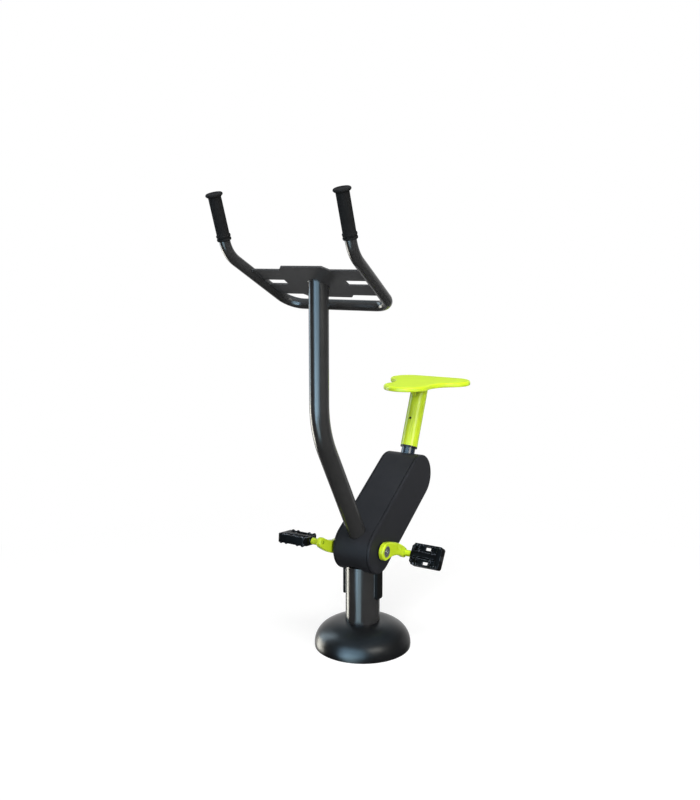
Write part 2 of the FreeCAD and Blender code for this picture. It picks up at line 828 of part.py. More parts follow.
def make_stem():
    body = new_body("stem_blank")
    lean = S["stem_lean"]
    # The bend starts and ends one tangent length from the point where both straight parts meet.
    knee = S["axle_high"] + S["stem_ahead"] / tangent(lean)
    reach = S["stem_bend"] * tangent(lean / 2)
    top = S["bar_base_high"] + (S["stem_ahead"] - S["bar_base_ahead"]) * tangent(S["bar_rise"]) + STEM_RAD * 2
    path = new_sketch(body, "stem_path", "YZ_Plane")
    add_outline(path, [
        (-S["stem_ahead"], top),
        (-S["stem_ahead"], knee + reach, S["stem_bend"], 1),
        (-S["stem_ahead"] + reach * sine(lean), knee - reach * cosine(lean)),
        (ZERO, S["axle_high"]),
    ], closed=False)
    ring = new_sketch(body, "stem_ring", "XY_Plane", top)
    add_circle(ring, ZERO, -S["stem_ahead"], STEM_RAD)
    add_circle(ring, ZERO, -S["stem_ahead"], STEM_RAD - S["stem_wall"])
    doc.recompute()
    pipe = body.newObject("PartDesign::AdditivePipe", "stem_pipe")
    pipe.Profile = ring
    pipe.Spine = (path, [f"Edge{i}" for i in range(1, 4)])
    cope = cross_bar("stem_cope", S["shell_rad"], -REACH, REACH, z=S["axle_high"])
    above = new_body("stem_above")
    in_bar_plane(above)
    lid = new_sketch(above, "stem_lid", "XY_Plane", S["console_thick"] / 2)
    square_block(lid, -REACH, REACH, -REACH, REACH)
    lid_pad = pad(above, lid, REACH)
    lid_pad.Reversed = True
    return cut("stem", body, cope, above)


def rounded_path(points, radii):
    """Wire through the points with each inner corner rounded."""
    edges = []
    last = points[0]
    for index in range(1, len(points) - 1):
        corner = points[index]
        back = (points[index - 1] - corner).normalize()
        ahead = (points[index + 1] - corner).normalize()
        half_angle = back.getAngle(ahead) / 2
        reach = radii[index - 1] / math.tan(half_angle)
        start = corner + back * reach
        end = corner + ahead * reach
        towards = (back + ahead).normalize()
        middle = corner + towards * (radii[index - 1] / math.sin(half_angle) - radii[index - 1])
        edges.append(Part.LineSegment(last, start).toShape())
        edges.append(Part.Arc(start, middle, end).toShape())
        last = end
    edges.append(Part.LineSegment(last, points[-1]).toShape())
    return Part.Wire(edges)


def bar_top_corner(side):
    """Corner between an arm and its grip."""
    ahead = S["bar_top_ahead"] - S["bar_base_ahead"]
    along = (ahead / cosine(S["bar_rise"])).value
    return bar_plane_point(S["bar_top_half"].value * side, along)


def grip_point(side, distance):
    """Point on a grip's axis above the corner."""
    lean = math.radians(S["grip_lean"].value)
    return bar_top_corner(side) + FreeCAD.Vector(0, -math.sin(lean), math.cos(lean)) * distance


def make_bar_path():
    path = doc.addObject("Part::Feature", "bar_path")
    end = S["grip_start"].value + S["grip_long"].value
    half = S["bar_base_half"].value
    points = [grip_point(-1, end), bar_top_corner(-1), bar_plane_point(-half, 0), bar_plane_point(half, 0),
              bar_top_corner(1), grip_point(1, end)]
    bends = [S["bar_top_bend"].value, S["bar_corner"].value, S["bar_corner"].value, S["bar_top_bend"].value]
    path.Shape = rounded_path(points, bends)
    return path


def bar_sweep(name, path, radius):
    """Round bar along the handlebar's path, or the inside of its tube."""
    ring = doc.addObject("Part::Circle", f"{name}_ring")
    bind(ring, "Radius", radius)
    start = path.Shape.Vertexes[0].Point
    lean = S["grip_lean"]
    ring.Placement = FreeCAD.Placement(start, FreeCAD.Rotation(X_AXIS, lean.value))
    sweep = doc.addObject("Part::Sweep", name)
    sweep.Sections = [ring]
    sweep.Spine = (path, [f"Edge{i}" for i in range(1, len(path.Shape.Edges) + 1)])
    sweep.Solid = True
    sweep.Frenet = False
    return sweep


def make_handlebar(path):
    outer = bar_sweep("bar_outer", path, BAR_RAD)
    inner = bar_sweep("bar_inner", path, BAR_RAD - S["bar_wall"])
    return cut("handlebar", outer, inner)


def make_console_plate(path):
    body = in_bar_plane(new_body("console_blank"))
    sketch = new_sketch(body, "console_outline")
    flare = (S["bar_top_half"] - S["bar_base_half"]) * cosine(S["bar_rise"])
    flare = flare / (S["bar_top_ahead"] - S["bar_base_ahead"])

    def arm_x(along):
        return S["bar_base_half"] + flare * along - BAR_RAD / 2

    back, front, tab = S["console_back"], S["console_front"], S["console_tab_front"]
    right_side = [
        (S["console_step_half"], S["console_step_back"]),
        (S["console_step_foot"], back),
        (arm_x(back), back),
        (arm_x(front), front),
        (S["console_tab_foot"], front),
        (S["console_tab_half"], tab),
    ]
    left_side = [(-x, y) for x, y in reversed(right_side)]
    add_outline(sketch, right_side + left_side)
    slot_out = arm_x(S["slot_back"]) - BAR_RAD / 2 - S["slot_edge"]
    slot_in = slot_out - S["slot_long"]
    square_block(sketch, slot_in, slot_out, S["slot_back"], S["slot_front"])
    square_block(sketch, -slot_out, -slot_in, S["slot_back"], S["slot_front"])
    pad(body, sketch, S["console_thick"], symmetric=True)
    return cut("console_plate", body, bar_sweep("console_cope", path, BAR_RAD))


def make_grip(name, side):
    lean = S["grip_lean"]
    along = (S["bar_top_ahead"] - S["bar_base_ahead"]) * tangent(S["bar_rise"])
    start = S["grip_start"]
    body = new_body(name, x=S["bar_top_half"] * side, y=-S["bar_top_ahead"] - start * sine(lean),
                    z=S["bar_base_high"] + along + start * cosine(lean), axis=X_AXIS, angle=lean)
    sketch = new_sketch(body, f"{name}_section", "XZ_Plane")
    collar = S["grip_collar_wide"]
    collar_rad = S["grip_collar_dia"] / 2
    rad = S["grip_dia"] / 2
    long = S["grip_long"]
    top = long + S["grip_flange_thick"]
    flange = S["grip_flange_dia"] / 2
    step = S["grip_collar_gap"]
    add_outline(sketch, [
        (BAR_RAD, ZERO),
        (collar_rad, ZERO),
        (collar_rad, collar),
        (rad, collar),
        (rad, collar + step),
        (collar_rad, collar + step),
        (collar_rad, collar * 2 + step),
        (rad, collar * 2 + step),
        (rad, long),
        (flange, long),
        (flange, top),
        (ZERO, top),
        (ZERO, long),
        (BAR_RAD, long),
    ])
    revolve(body, sketch, "V_Axis")
    return body


# Saddle assembly

def make_seat_sleeve():
    outer = mast_bar("sleeve_outer", SLEEVE_RAD, S["sleeve_low"], S["saddle_at"] + SLEEVE_RAD)
    bore = mast_bar("sleeve_bore", SLEEVE_BORE_RAD, ZERO, REACH)
    above = box("sleeve_above", REACH * 2, REACH * 2, REACH, x=-REACH, y=UPPER_Y - REACH, z=SADDLE_LOW)
    return cut("seat_sleeve", outer, bore, above, lock_hole("sleeve_hole", S["lock_at"]))


def make_seat_bush():
    low = S["sleeve_low"]
    lip = mast_bar("bush_lip_ring", SLEEVE_RAD, low - S["bush_lip"], low)
    spigot = mast_bar("bush_spigot", SLEEVE_BORE_RAD, low - S["bush_lip"], low + S["bush_long"])
    bore = mast_bar("bush_bore", MAST_RAD + S["run_fit"], ZERO, REACH)
    return cut("seat_bush", fuse("bush_blank", lip, spigot), bore)


def make_lock_screw():
    lean = S["mast_lean"]
    start = MAST_RAD + S["pass_gap"]
    socket_deep = S["sleeve_wall"] / 2
    length = SLEEVE_RAD - start - S["pass_gap"]

    def on_front(name, radius, inner, long):
        across = cosine(lean) * inner
        up = sine(lean) * inner
        return cylinder(name, radius, long, y=UPPER_Y + S["lock_at"] * sine(lean) - across,
                        z=UPPER_Z + S["lock_at"] * cosine(lean) + up, axis=X_AXIS, angle=as_size(90) - lean)

    shank = on_front("lock_shank", S["lock_hole_dia"] / 2, start, length)
    socket = on_front("lock_socket", S["lock_hole_dia"] / 4, start + length - socket_deep, SLEEVE_RAD)
    return cut("lock_screw", shank, socket)


def make_seat_gusset():
    body = new_body("gusset_blank")
    sketch = new_sketch(body, "gusset_outline", "YZ_Plane")
    low = SADDLE_LOW
    lean = S["mast_lean"]
    drop = S["gusset_drop"]
    add_outline(sketch, [
        (SADDLE_Y, low),
        (SADDLE_Y - S["gusset_ahead"], low),
        (SADDLE_Y - S["gusset_ahead"], low - S["gusset_lip"]),
        (SADDLE_Y - drop * tangent(lean), low - drop),
    ])
    pad(body, sketch, S["gusset_thick"], symmetric=True)
    return cut("seat_gusset", body, mast_bar("gusset_cope", SLEEVE_RAD, ZERO, REACH))


def saddle_outline(sketch):
    """Round nose, hollow waist and two round rear lobes with a straight back."""
    nose, lobe, waist = S["nose_rad"], S["lobe_rad"], S["waist_rad"]
    nose_y = SADDLE_Y - S["nose_ahead"]
    lobe_y = SADDLE_Y + S["lobe_behind"]
    lobe_x = S["lobe_half"] - lobe
    along = S["lobe_behind"] + S["nose_ahead"]
    reach = root(lobe_x * lobe_x + along * along)
    near = waist + nose
    far = waist + lobe
    foot = (near * near - far * far + reach * reach) / (reach * 2)
    out = root(near * near - foot * foot)
    waist_x = (foot * lobe_x + out * along) / reach
    waist_y = nose_y + (foot * along - out * lobe_x) / reach
    nose_x_at = waist_x * nose / near
    nose_y_at = nose_y + (waist_y - nose_y) * nose / near
    lobe_x_at = lobe_x + (waist_x - lobe_x) * lobe / far
    lobe_y_at = lobe_y + (waist_y - lobe_y) * lobe / far
    add_outline(sketch, [
        (ZERO, nose_y - nose, nose, 1),
        (nose_x_at, nose_y_at, waist, -1),
        (lobe_x_at, lobe_y_at, lobe, 1),
        (S["lobe_half"], lobe_y, lobe, 1),
        (lobe_x, lobe_y + lobe),
        (-lobe_x, lobe_y + lobe, lobe, 1),
        (-S["lobe_half"], lobe_y, lobe, 1),
        (-lobe_x_at, lobe_y_at, waist, -1),
        (-nose_x_at, nose_y_at, nose, 1),
    ])


def make_saddle():
    body = new_body("saddle")
    outline = new_sketch(body, "saddle_plan", "XY_Plane", SADDLE_LOW)
    saddle_outline(outline)
    blank = pad(body, outline, S["saddle_thick"])
    top = SADDLE_LOW + S["saddle_thick"]
    upper = round_edges(body, blank, S["saddle_round"], lies_at("z", top))
    round_edges(body, upper, S["saddle_under_round"], lies_at("z", SADDLE_LOW))
    recess = new_sketch(body, "saddle_recess", "XY_Plane", SADDLE_LOW)
    square_block(recess, -S["pan_half_wide"], S["pan_half_wide"], SADDLE_Y - S["pan_half_long"],
                 SADDLE_Y + S["pan_half_long"])
    pocket(body, recess, S["pan_thick"], backwards=True)
    bores = new_sketch(body, "saddle_bores", "XY_Plane", SADDLE_LOW)
    for x, y in pan_screw_places():
        add_circle(bores, x, y, S["pan_screw_dia"] / 2)
    pocket(body, bores, S["pan_screw_long"], backwards=True)
    return body


def pan_screw_places():
    """Screw centres in the pan's four corners."""
    across = S["pan_half_wide"] - S["pan_screw_inset"]
    along = S["pan_half_long"] - S["pan_screw_inset"]
    return [(across * x, SADDLE_Y + along * y) for x, y in ((1, 1), (-1, 1), (-1, -1), (1, -1))]


def make_saddle_pan():
    body = new_body("saddle_pan")
    sketch = new_sketch(body, "pan_plan", "XY_Plane", SADDLE_LOW)
    square_block(sketch, -S["pan_half_wide"], S["pan_half_wide"], SADDLE_Y - S["pan_half_long"],
                 SADDLE_Y + S["pan_half_long"])
    for x, y in pan_screw_places():
        add_circle(sketch, x, y, S["pan_screw_dia"] / 2)
    pad(body, sketch, S["pan_thick"])
    return body


def make_saddle_screws():
    screws = []
    for index, (x, y) in enumerate(pan_screw_places(), start=1):
        head_high = S["pan_head_high"]
        shank = cylinder(f"pan_shank_{index}", S["pan_screw_dia"] / 2, S["pan_screw_long"], x=x, y=y,
                         z=SADDLE_LOW)
        head = cylinder(f"pan_head_{index}", S["pan_screw_dia"], head_high, x=x, y=y,
                        z=SADDLE_LOW - head_high)
        screws.append(fuse(f"saddle_screw_{index}", shank, head))
    return group("saddle_screws", screws)


# Cranks and pedals

def crank_outline(sketch):
    """Banana-shaped arm along local Y: hub and eye rounds joined by two bends that touch both."""
    hub, eye, long = S["crank_hub_rad"], S["crank_eye_rad"], S["crank_long"]

    def touching(near, far):
        along = (near * near - far * far + long * long) / (long * 2)
        return along, root(near * near - along * along)

    upper = S["crank_upper_bend"]
    up_near, up_far = upper - hub, upper - eye
    up_y, up_drop = touching(up_near, up_far)
    lower = S["crank_lower_bend"]
    low_near, low_far = lower + hub, lower + eye
    low_y, low_drop = touching(low_near, low_far)
    add_outline(sketch, [
        (-hub, ZERO, hub, 1),
        (low_y * hub / low_near, -low_drop * hub / low_near, lower, -1),
        (long + (low_y - long) * eye / low_far, -low_drop * eye / low_far, eye, 1),
        (long + eye, ZERO, eye, 1),
        (long + (long - up_y) * eye / up_far, up_drop * eye / up_far, upper, 1),
        (-up_y * hub / up_near, up_drop * hub / up_near, hub, 1),
    ])


def make_crank_arm(name, side):
    turn = -S["crank_dip"] if side > 0 else as_size(180) - S["crank_dip"]
    body = new_body(name, z=S["axle_high"], axis=X_AXIS, angle=turn)
    thick = S["crank_thick"]
    low = CRANK_IN if side > 0 else -CRANK_OUT
    outline = new_sketch(body, f"{name}_outline", "YZ_Plane", low)
    crank_outline(outline)
    blank = pad(body, outline, thick)
    face = CRANK_OUT * side
    rounded = round_edges(body, blank, S["crank_round"], lies_at("x", face))
    round_edges(body, rounded, S["crank_round"], lies_at("x", CRANK_IN * side))
    boss_low = CRANK_IN + thick / 2
    boss = new_sketch(body, f"{name}_boss", "YZ_Plane", boss_low if side > 0 else -BOSS_END)
    add_circle(boss, S["crank_long"], ZERO, S["boss_rad"])
    pad(body, boss, BOSS_END - boss_low)
    sunk = S["disc_thick"] + S["disc_sunk"]
    recess_low = CRANK_OUT - sunk if side > 0 else -CRANK_OUT
    recess = new_sketch(body, f"{name}_recess", "YZ_Plane", recess_low)
    add_circle(recess, ZERO, ZERO, S["disc_rad"])
    pocket(body, recess, sunk, backwards=True)
    bores = new_sketch(body, f"{name}_bores", "YZ_Plane", CRANK_IN if side > 0 else -BOSS_END)
    add_circle(bores, ZERO, ZERO, AXLE_RAD)
    add_circle(bores, S["crank_long"], ZERO, SPINDLE_RAD)
    pocket(body, bores, BOSS_END - CRANK_IN, backwards=True)
    return body


def make_crank_axle():
    return cross_bar("crank_axle", AXLE_RAD, -AXLE_HALF, AXLE_HALF, z=S["axle_high"])


def make_crank_bolts():
    bolts = []
    for index, side in enumerate((1, -1), start=1):
        low = AXLE_HALF if side > 0 else -AXLE_HALF - S["disc_thick"]
        bolts.append(cross_bar(f"crank_bolt_{index}", S["disc_rad"], low, low + S["disc_thick"],
                               z=S["axle_high"]))
    return group("crank_bolts", bolts)


def spindle_head_at():
    """Inner face of the spindle's head."""
    return PEDAL_MID + S["pedal_half_long"] - S["pedal_rim"] - S["spindle_head_thick"]


def make_pedal_spindle(name, side):
    y = PEDAL_Y * side
    z = S["axle_high"] - PEDAL_Z * side
    inner = CRANK_IN + S["crank_round"]
    head_at = spindle_head_at()
    head_end = head_at + S["spindle_head_thick"]
    if side > 0:
        shank = cross_bar(f"{name}_shank", SPINDLE_RAD, inner, head_end, y=y, z=z)
        head = cross_bar(f"{name}_head", S["spindle_head_rad"], head_at, head_end, y=y, z=z)
    else:
        shank = cross_bar(f"{name}_shank", SPINDLE_RAD, -head_end, -inner, y=y, z=z)
        head = cross_bar(f"{name}_head", S["spindle_head_rad"], -head_end, -head_at, y=y, z=z)
    return fuse(name, shank, head)


def make_pedal(name, side, tilt):
    body = new_body(name, x=PEDAL_MID * side, y=PEDAL_Y * side, z=S["axle_high"] - PEDAL_Z * side,
                    axis=X_AXIS, angle=tilt)
    long, wide, thick = S["pedal_half_long"], S["pedal_half_wide"], S["pedal_half_thick"]
    corner, rim, web = S["pedal_corner"], S["pedal_rim"], S["pedal_web_half"]
    # The corners at the outer end are cut less than those beside the crank.
    tip = S["pedal_tip_corner"]
    left, right = (corner, tip) if side > 0 else (tip, corner)
    plan = new_sketch(body, f"{name}_plan")
    add_outline(plan, [
        (left - long, -wide),
        (long - right, -wide),
        (long, right - wide),
        (long, wide - right),
        (long - right, wide),
        (left - long, wide),
        (-long, wide - left),
        (-long, left - wide),
    ])
    pad(body, plan, thick * 2, symmetric=True)
    # Cells on both faces, between the inner end, two ribs and a solid outer end, leave a web in the middle.
    barrel = S["pedal_barrel_rad"]
    half_rib = S["pedal_rib"] / 2
    rib_in, rib_out = -S["pedal_rib_in"], S["pedal_rib_out"]
    cells = [
        (rim - long, rib_in - half_rib, wide - rim - corner / 2),
        (rib_in + half_rib, rib_out - half_rib, wide - rim),
        (rib_out + half_rib, long - S["pedal_end"], wide - rim),
    ]
    for face, offset in (("top", web), ("bottom", -thick)):
        sketch = new_sketch(body, f"{name}_{face}_cells", "XY_Plane", offset)
        for low, high, reach in cells:
            x_low, x_high = (low, high) if side > 0 else (-high, -low)
            square_block(sketch, x_low, x_high, barrel, reach)
            square_block(sketch, x_low, x_high, -reach, -barrel)
        pocket(body, sketch, thick - web, backwards=True)
    windows = new_sketch(body, f"{name}_windows", "XY_Plane", -thick)
    off = S["window_off"]
    for middle in (off, -off):
        square_block(windows, -S["window_half_long"], S["window_half_long"], middle - S["window_half_wide"],
                     middle + S["window_half_wide"])
    pocket(body, windows, thick * 2, backwards=True)
    # Two rounded teeth near each end of both long rims, on both faces.
    tooth_z = thick + S["tread_high"] - S["tread_rad"]
    for y_high, rim_name in ((wide - S["tread_set"], "rear"), (rim - wide, "front")):
        teeth = new_sketch(body, f"{name}_{rim_name}_teeth", "XZ_Plane", -y_high)
        for tooth_x in (long - S["tread_in"], long - S["tread_in"] - S["tread_pitch"]):
            for x in (tooth_x, -tooth_x):
                for z in (tooth_z, -tooth_z):
                    add_circle(teeth, x, z, S["tread_rad"])
        pad(body, teeth, rim - S["tread_set"])
    # The barrel reaches past the inner end as far as the crank's boss allows.
    inner = PEDAL_MID - BOSS_END - S["pedal_play"]
    barrel_low = -inner if side > 0 else rim - long
    sleeve = new_sketch(body, f"{name}_barrel", "YZ_Plane", barrel_low)
    add_circle(sleeve, ZERO, ZERO, barrel)
    pad(body, sleeve, inner + long - rim)
    bore = new_sketch(body, f"{name}_bore", "YZ_Plane", -inner if side > 0 else -long)
    add_circle(bore, ZERO, ZERO, SPINDLE_RAD + S["run_fit"])
    pocket(body, bore, inner + long, backwards=True)
    head_at = spindle_head_at() - PEDAL_MID - S["pedal_play"]
    socket = new_sketch(body, f"{name}_socket", "YZ_Plane", head_at if side > 0 else -long)
    add_circle(socket, ZERO, ZERO, S["spindle_head_rad"] + S["pedal_play"])
    pocket(body, socket, long - head_at, backwards=True)
    return body


def make_pedal_cap(name, side):
    y = PEDAL_Y * side
    z = S["axle_high"] - PEDAL_Z * side
    outer = PEDAL_MID + S["pedal_half_long"]
    inner = outer - S["pedal_rim"] + S["pedal_play"]
    radius = S["spindle_head_rad"] + S["pedal_play"]
    if side > 0:
        return cross_bar(name, radius, inner, outer, y=y, z=z)
    return cross_bar(name, radius, -outer, -inner, y=y, z=z)


# Belt drive, flywheel and brake

def pulley(name, radius, bore, **where):
    """Belt wheel with two lips, turned about X."""
    body = new_body(name, **where)
    sketch = new_sketch(body, f"{name}_section", "XY_Plane")
    low, high = DRIVE_IN, DRIVE_OUT
    lip = (high - low - S["belt_wide"]) / 2 - S["belt_gap"]
    lip_rad = radius + S["drive_lip"]
    add_outline(sketch, [
        (low, bore),
        (high, bore),
        (high, lip_rad),
        (high - lip, lip_rad),
        (high - lip, radius),
        (low + lip, radius),
        (low + lip, lip_rad),
        (low, lip_rad),
    ])
    revolve(body, sketch, "H_Axis")
    return body


def make_drive_pulley():
    return pulley("drive_pulley", S["drive_rad"], AXLE_RAD, z=S["axle_high"])


def make_flywheel_pulley():
    return pulley("flywheel_pulley", S["driven_rad"], FLY_AXLE_RAD, y=UPPER_Y, z=UPPER_Z)


def belt_loop(sketch, big, small):
    """Open belt line around both wheels, the big one at the origin."""
    span = S["house_span"]
    lift = (big - small) / span
    flat = root(as_size(1) - lift * lift)
    add_outline(sketch, [
        (-big, ZERO, big, 1),
        (big * lift, -big * flat),
        (span + small * lift, -small * flat, small, 1),
        (span + small, ZERO, small, 1),
        (span + small * lift, small * flat),
        (big * lift, big * flat, big, 1),
    ])


def make_drive_belt():
    body = housing_body("drive_belt")
    sketch = new_sketch(body, "belt_line", "YZ_Plane", DRIVE_MID)
    belt_loop(sketch, BELT_RAD + S["belt_thick"], BELT_SMALL_RAD + S["belt_thick"])
    belt_loop(sketch, BELT_RAD, BELT_SMALL_RAD)
    pad(body, sketch, S["belt_wide"], symmetric=True)
    return body


def make_flywheel():
    body = new_body("flywheel", y=UPPER_Y, z=UPPER_Z)
    sketch = new_sketch(body, "flywheel_section", "XY_Plane")
    inner, outer = -FLY_IN, -FLY_OUT
    rim = FLY_RAD - S["fly_rim"]
    hub = S["fly_hub_rad"]
    dish = S["fly_dish"]
    add_outline(sketch, [
        (outer, FLY_AXLE_RAD),
        (inner, FLY_AXLE_RAD),
        (inner, FLY_RAD),
        (outer, FLY_RAD),
        (outer, rim),
        (outer + dish, rim),
        (outer + dish, hub),
        (outer, hub),
    ])
    revolve(body, sketch, "H_Axis")
    return body


def make_flywheel_axle():
    half = S["house_half"] - S["fly_axle_short"]
    return cross_bar("flywheel_axle", FLY_AXLE_RAD, -half, half, y=UPPER_Y, z=UPPER_Z)


def make_flywheel_nuts():
    nuts = []
    for index, start in enumerate((DRIVE_OUT, -FLY_OUT - S["fly_nut_thick"]), start=1):
        nut = doc.addObject("Part::Prism", f"fly_nut_blank_{index}")
        nut.Polygon = 6
        bind(nut, "Circumradius", S["fly_nut_rad"])
        bind(nut, "Height", S["fly_nut_thick"])
        place(nut, x=start, y=UPPER_Y, z=UPPER_Z, axis=Y_AXIS, angle=90)
        bore = cross_bar(f"fly_nut_bore_{index}", FLY_AXLE_RAD, -REACH, REACH, y=UPPER_Y, z=UPPER_Z)
        nuts.append(cut(f"fly_nut_{index}", nut, bore))
    return group("flywheel_nuts", nuts)


def brake_centre():
    """Middle of the magnets along the housing's length."""
    return S["house_span"] - S["upper_rad"] - S["brake_plate_half"]


def make_brake_plate():
    body = housing_body("brake_plate")
    thick = FLY_IN - S["magnet_gap"] - S["magnet_thick"] - S["spine_half_wide"]
    sketch = new_sketch(body, "brake_outline", "YZ_Plane", -S["spine_half_wide"] - thick)
    half = S["brake_plate_half"]
    high = S["spine_half_high"]
    square_block(sketch, brake_centre() - half, brake_centre() + half, -high, high)
    pad(body, sketch, thick)
    return body


def make_brake_magnets():
    slope = S["house_slope"]
    near = -FLY_IN + S["magnet_gap"]
    discs = []
    for index, side in enumerate((1, -1), start=1):
        up = S["spine_half_high"] / 2 * side
        y = brake_centre() * cosine(slope) - up * sine(slope)
        z = S["axle_high"] + brake_centre() * sine(slope) + up * cosine(slope)
        discs.append(cross_bar(f"brake_magnet_{index}", S["magnet_rad"], near, near + S["magnet_thick"],
                               y=y, z=z))
    return group("brake_magnets", discs)


def build_all():
    """Every sub-part, in the order in which the bike is put together."""
    bar_path = make_bar_path()
    doc.recompute()
    return [
        make_base_flange(),
        make_base_cover(),
        make_post(),
        make_post_cap(),
        make_bearing_plate("bearing_plate_left", 1),
        make_bearing_plate("bearing_plate_right", -1),
        make_crank_bearings(),
        make_crank_shell(),
        make_shell_support(),
        make_spine_beam(),
        make_drive_shell(),
        make_drive_bearings(),
        make_seat_mast(),
        make_stem(),
        make_handlebar(bar_path),
        make_console_plate(bar_path),
        make_grip("grip_left", 1),
        make_grip("grip_right", -1),
        make_housing_band(),
        make_housing_cover("cover_left", 1),
        make_housing_cover("cover_right", -1),
        make_cover_bolts(),
        make_crank_axle(),
        make_crank_arm("crank_arm_left", 1),
        make_crank_arm("crank_arm_right", -1),
        make_crank_bolts(),
        make_drive_pulley(),
        make_drive_belt(),
        make_flywheel(),
        make_flywheel_pulley(),
        make_flywheel_axle(),
        make_flywheel_nuts(),
        make_brake_plate(),
        make_brake_magnets(),
        make_pedal_spindle("pedal_spindle_left", 1),
        make_pedal_spindle("pedal_spindle_right", -1),
        make_pedal("pedal_left", 1, S["pedal_left_tilt"]),
        make_pedal("pedal_right", -1, S["pedal_right_tilt"]),
        make_pedal_cap("pedal_cap_left", 1),
        make_pedal_cap("pedal_cap_right", -1),
        make_seat_sleeve(),
        make_seat_bush(),
        make_lock_screw(),
        make_seat_gusset(),
        make_saddle_pan(),
        make_saddle(),
        make_saddle_screws(),
    ]


def check_and_export(parts):
    """Every object must be in order before its shape is written out."""
    doc.recompute()
    for obj in doc.Objects:
        if "Invalid" in obj.State or "Error" in obj.State:
            raise RuntimeError(f"{obj.Name} is not in order: {obj.State}")
    for part in parts:
        shape = part.Shape
        if shape.isNull() or not shape.isValid() or not shape.Solids:
            raise RuntimeError(f"{part.Name} has no valid solid")
        part.Label = part.Name
        shape.exportStep(f"parts/{part.Name}.step")
        print(part.Name, len(shape.Solids), round(shape.Volume / 1000, 1), "cm3")


check_and_export(build_all())
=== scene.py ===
"""Outdoor exercise bike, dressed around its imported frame."""

import logging
from dataclasses import dataclass, field, replace
from enum import Enum
from functools import partial
from math import cos, pi, radians, sin, sqrt, tan
from typing import Callable, Sequence

import bmesh
import bpy
from mathutils import Matrix, Vector


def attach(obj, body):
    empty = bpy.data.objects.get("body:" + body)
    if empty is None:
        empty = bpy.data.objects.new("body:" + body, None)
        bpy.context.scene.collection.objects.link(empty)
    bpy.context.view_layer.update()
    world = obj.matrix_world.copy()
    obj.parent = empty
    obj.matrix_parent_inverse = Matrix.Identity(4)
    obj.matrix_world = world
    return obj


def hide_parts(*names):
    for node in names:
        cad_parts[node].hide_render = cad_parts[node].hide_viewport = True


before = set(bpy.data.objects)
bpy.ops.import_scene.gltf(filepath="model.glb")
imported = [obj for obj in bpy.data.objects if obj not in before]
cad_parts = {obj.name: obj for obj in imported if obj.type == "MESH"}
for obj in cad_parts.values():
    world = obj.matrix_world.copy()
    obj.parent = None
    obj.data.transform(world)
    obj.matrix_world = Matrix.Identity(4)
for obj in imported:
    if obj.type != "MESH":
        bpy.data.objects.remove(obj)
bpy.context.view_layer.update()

Colour = tuple[float, float, float]
Point = tuple[float, float, float]
Pair = tuple[float, float]
Outline = Sequence[Pair]
Socket = bpy.types.NodeSocket
Shape = bmesh.types.BMesh
Ring = list[bmesh.types.BMVert]

LOG = logging.getLogger("exercise_bike")
FLOAT, VECTOR = "NodeSocketFloat", "NodeSocketVector"
COAT_ROUGHNESS = 0.12
DUST_DULLS = 0.4
EDGE_DULLS = 0.08
TONE_SPAN = (0.3, 0.7)
FINE_SHARE = 0.6
COARSE_SCALE = 0.23
SHARP_SPAN = (0.98, 0.82)
RUB_NOISE = (70.0, 5.0, 0.65)
RUB_SPAN = (0.42, 0.66)
GRIME_SPAN = (0.75, 0.30)
LEVEL_SPAN = (0.2, 1.0)
CLOUD_NOISE = (24.0, 6.0, 0.65)
CLOUD_SPAN = (0.38, 0.72)
SPLASH_SPAN = (0.05, 0.0)
WELD_GAP = 0.000005
BEAD_OFF = 0.0004
BEAD_DROP = 0.0006
HEAD_POINTS = 48
HEAD_CROWN = ((1.0, 0.0), (1.0, 0.25), (0.97, 0.50), (0.88, 0.78), (0.74, 0.95), (0.62, 1.0))
SOCKET_FLARE = 1.04
SOCKET_LIP = 0.0002
SOCKET_TIP = 1.15
AXLE_HIGH = 0.335
WHEEL_AT = (0.28187, 0.52513)
ORIGIN = (0.0, 0.0, 0.0)
WHITE = (1.0, 1.0, 1.0)
BLACK = (0.0, 0.0, 0.0)
SIDES = (1.0, -1.0)


# Shader building blocks

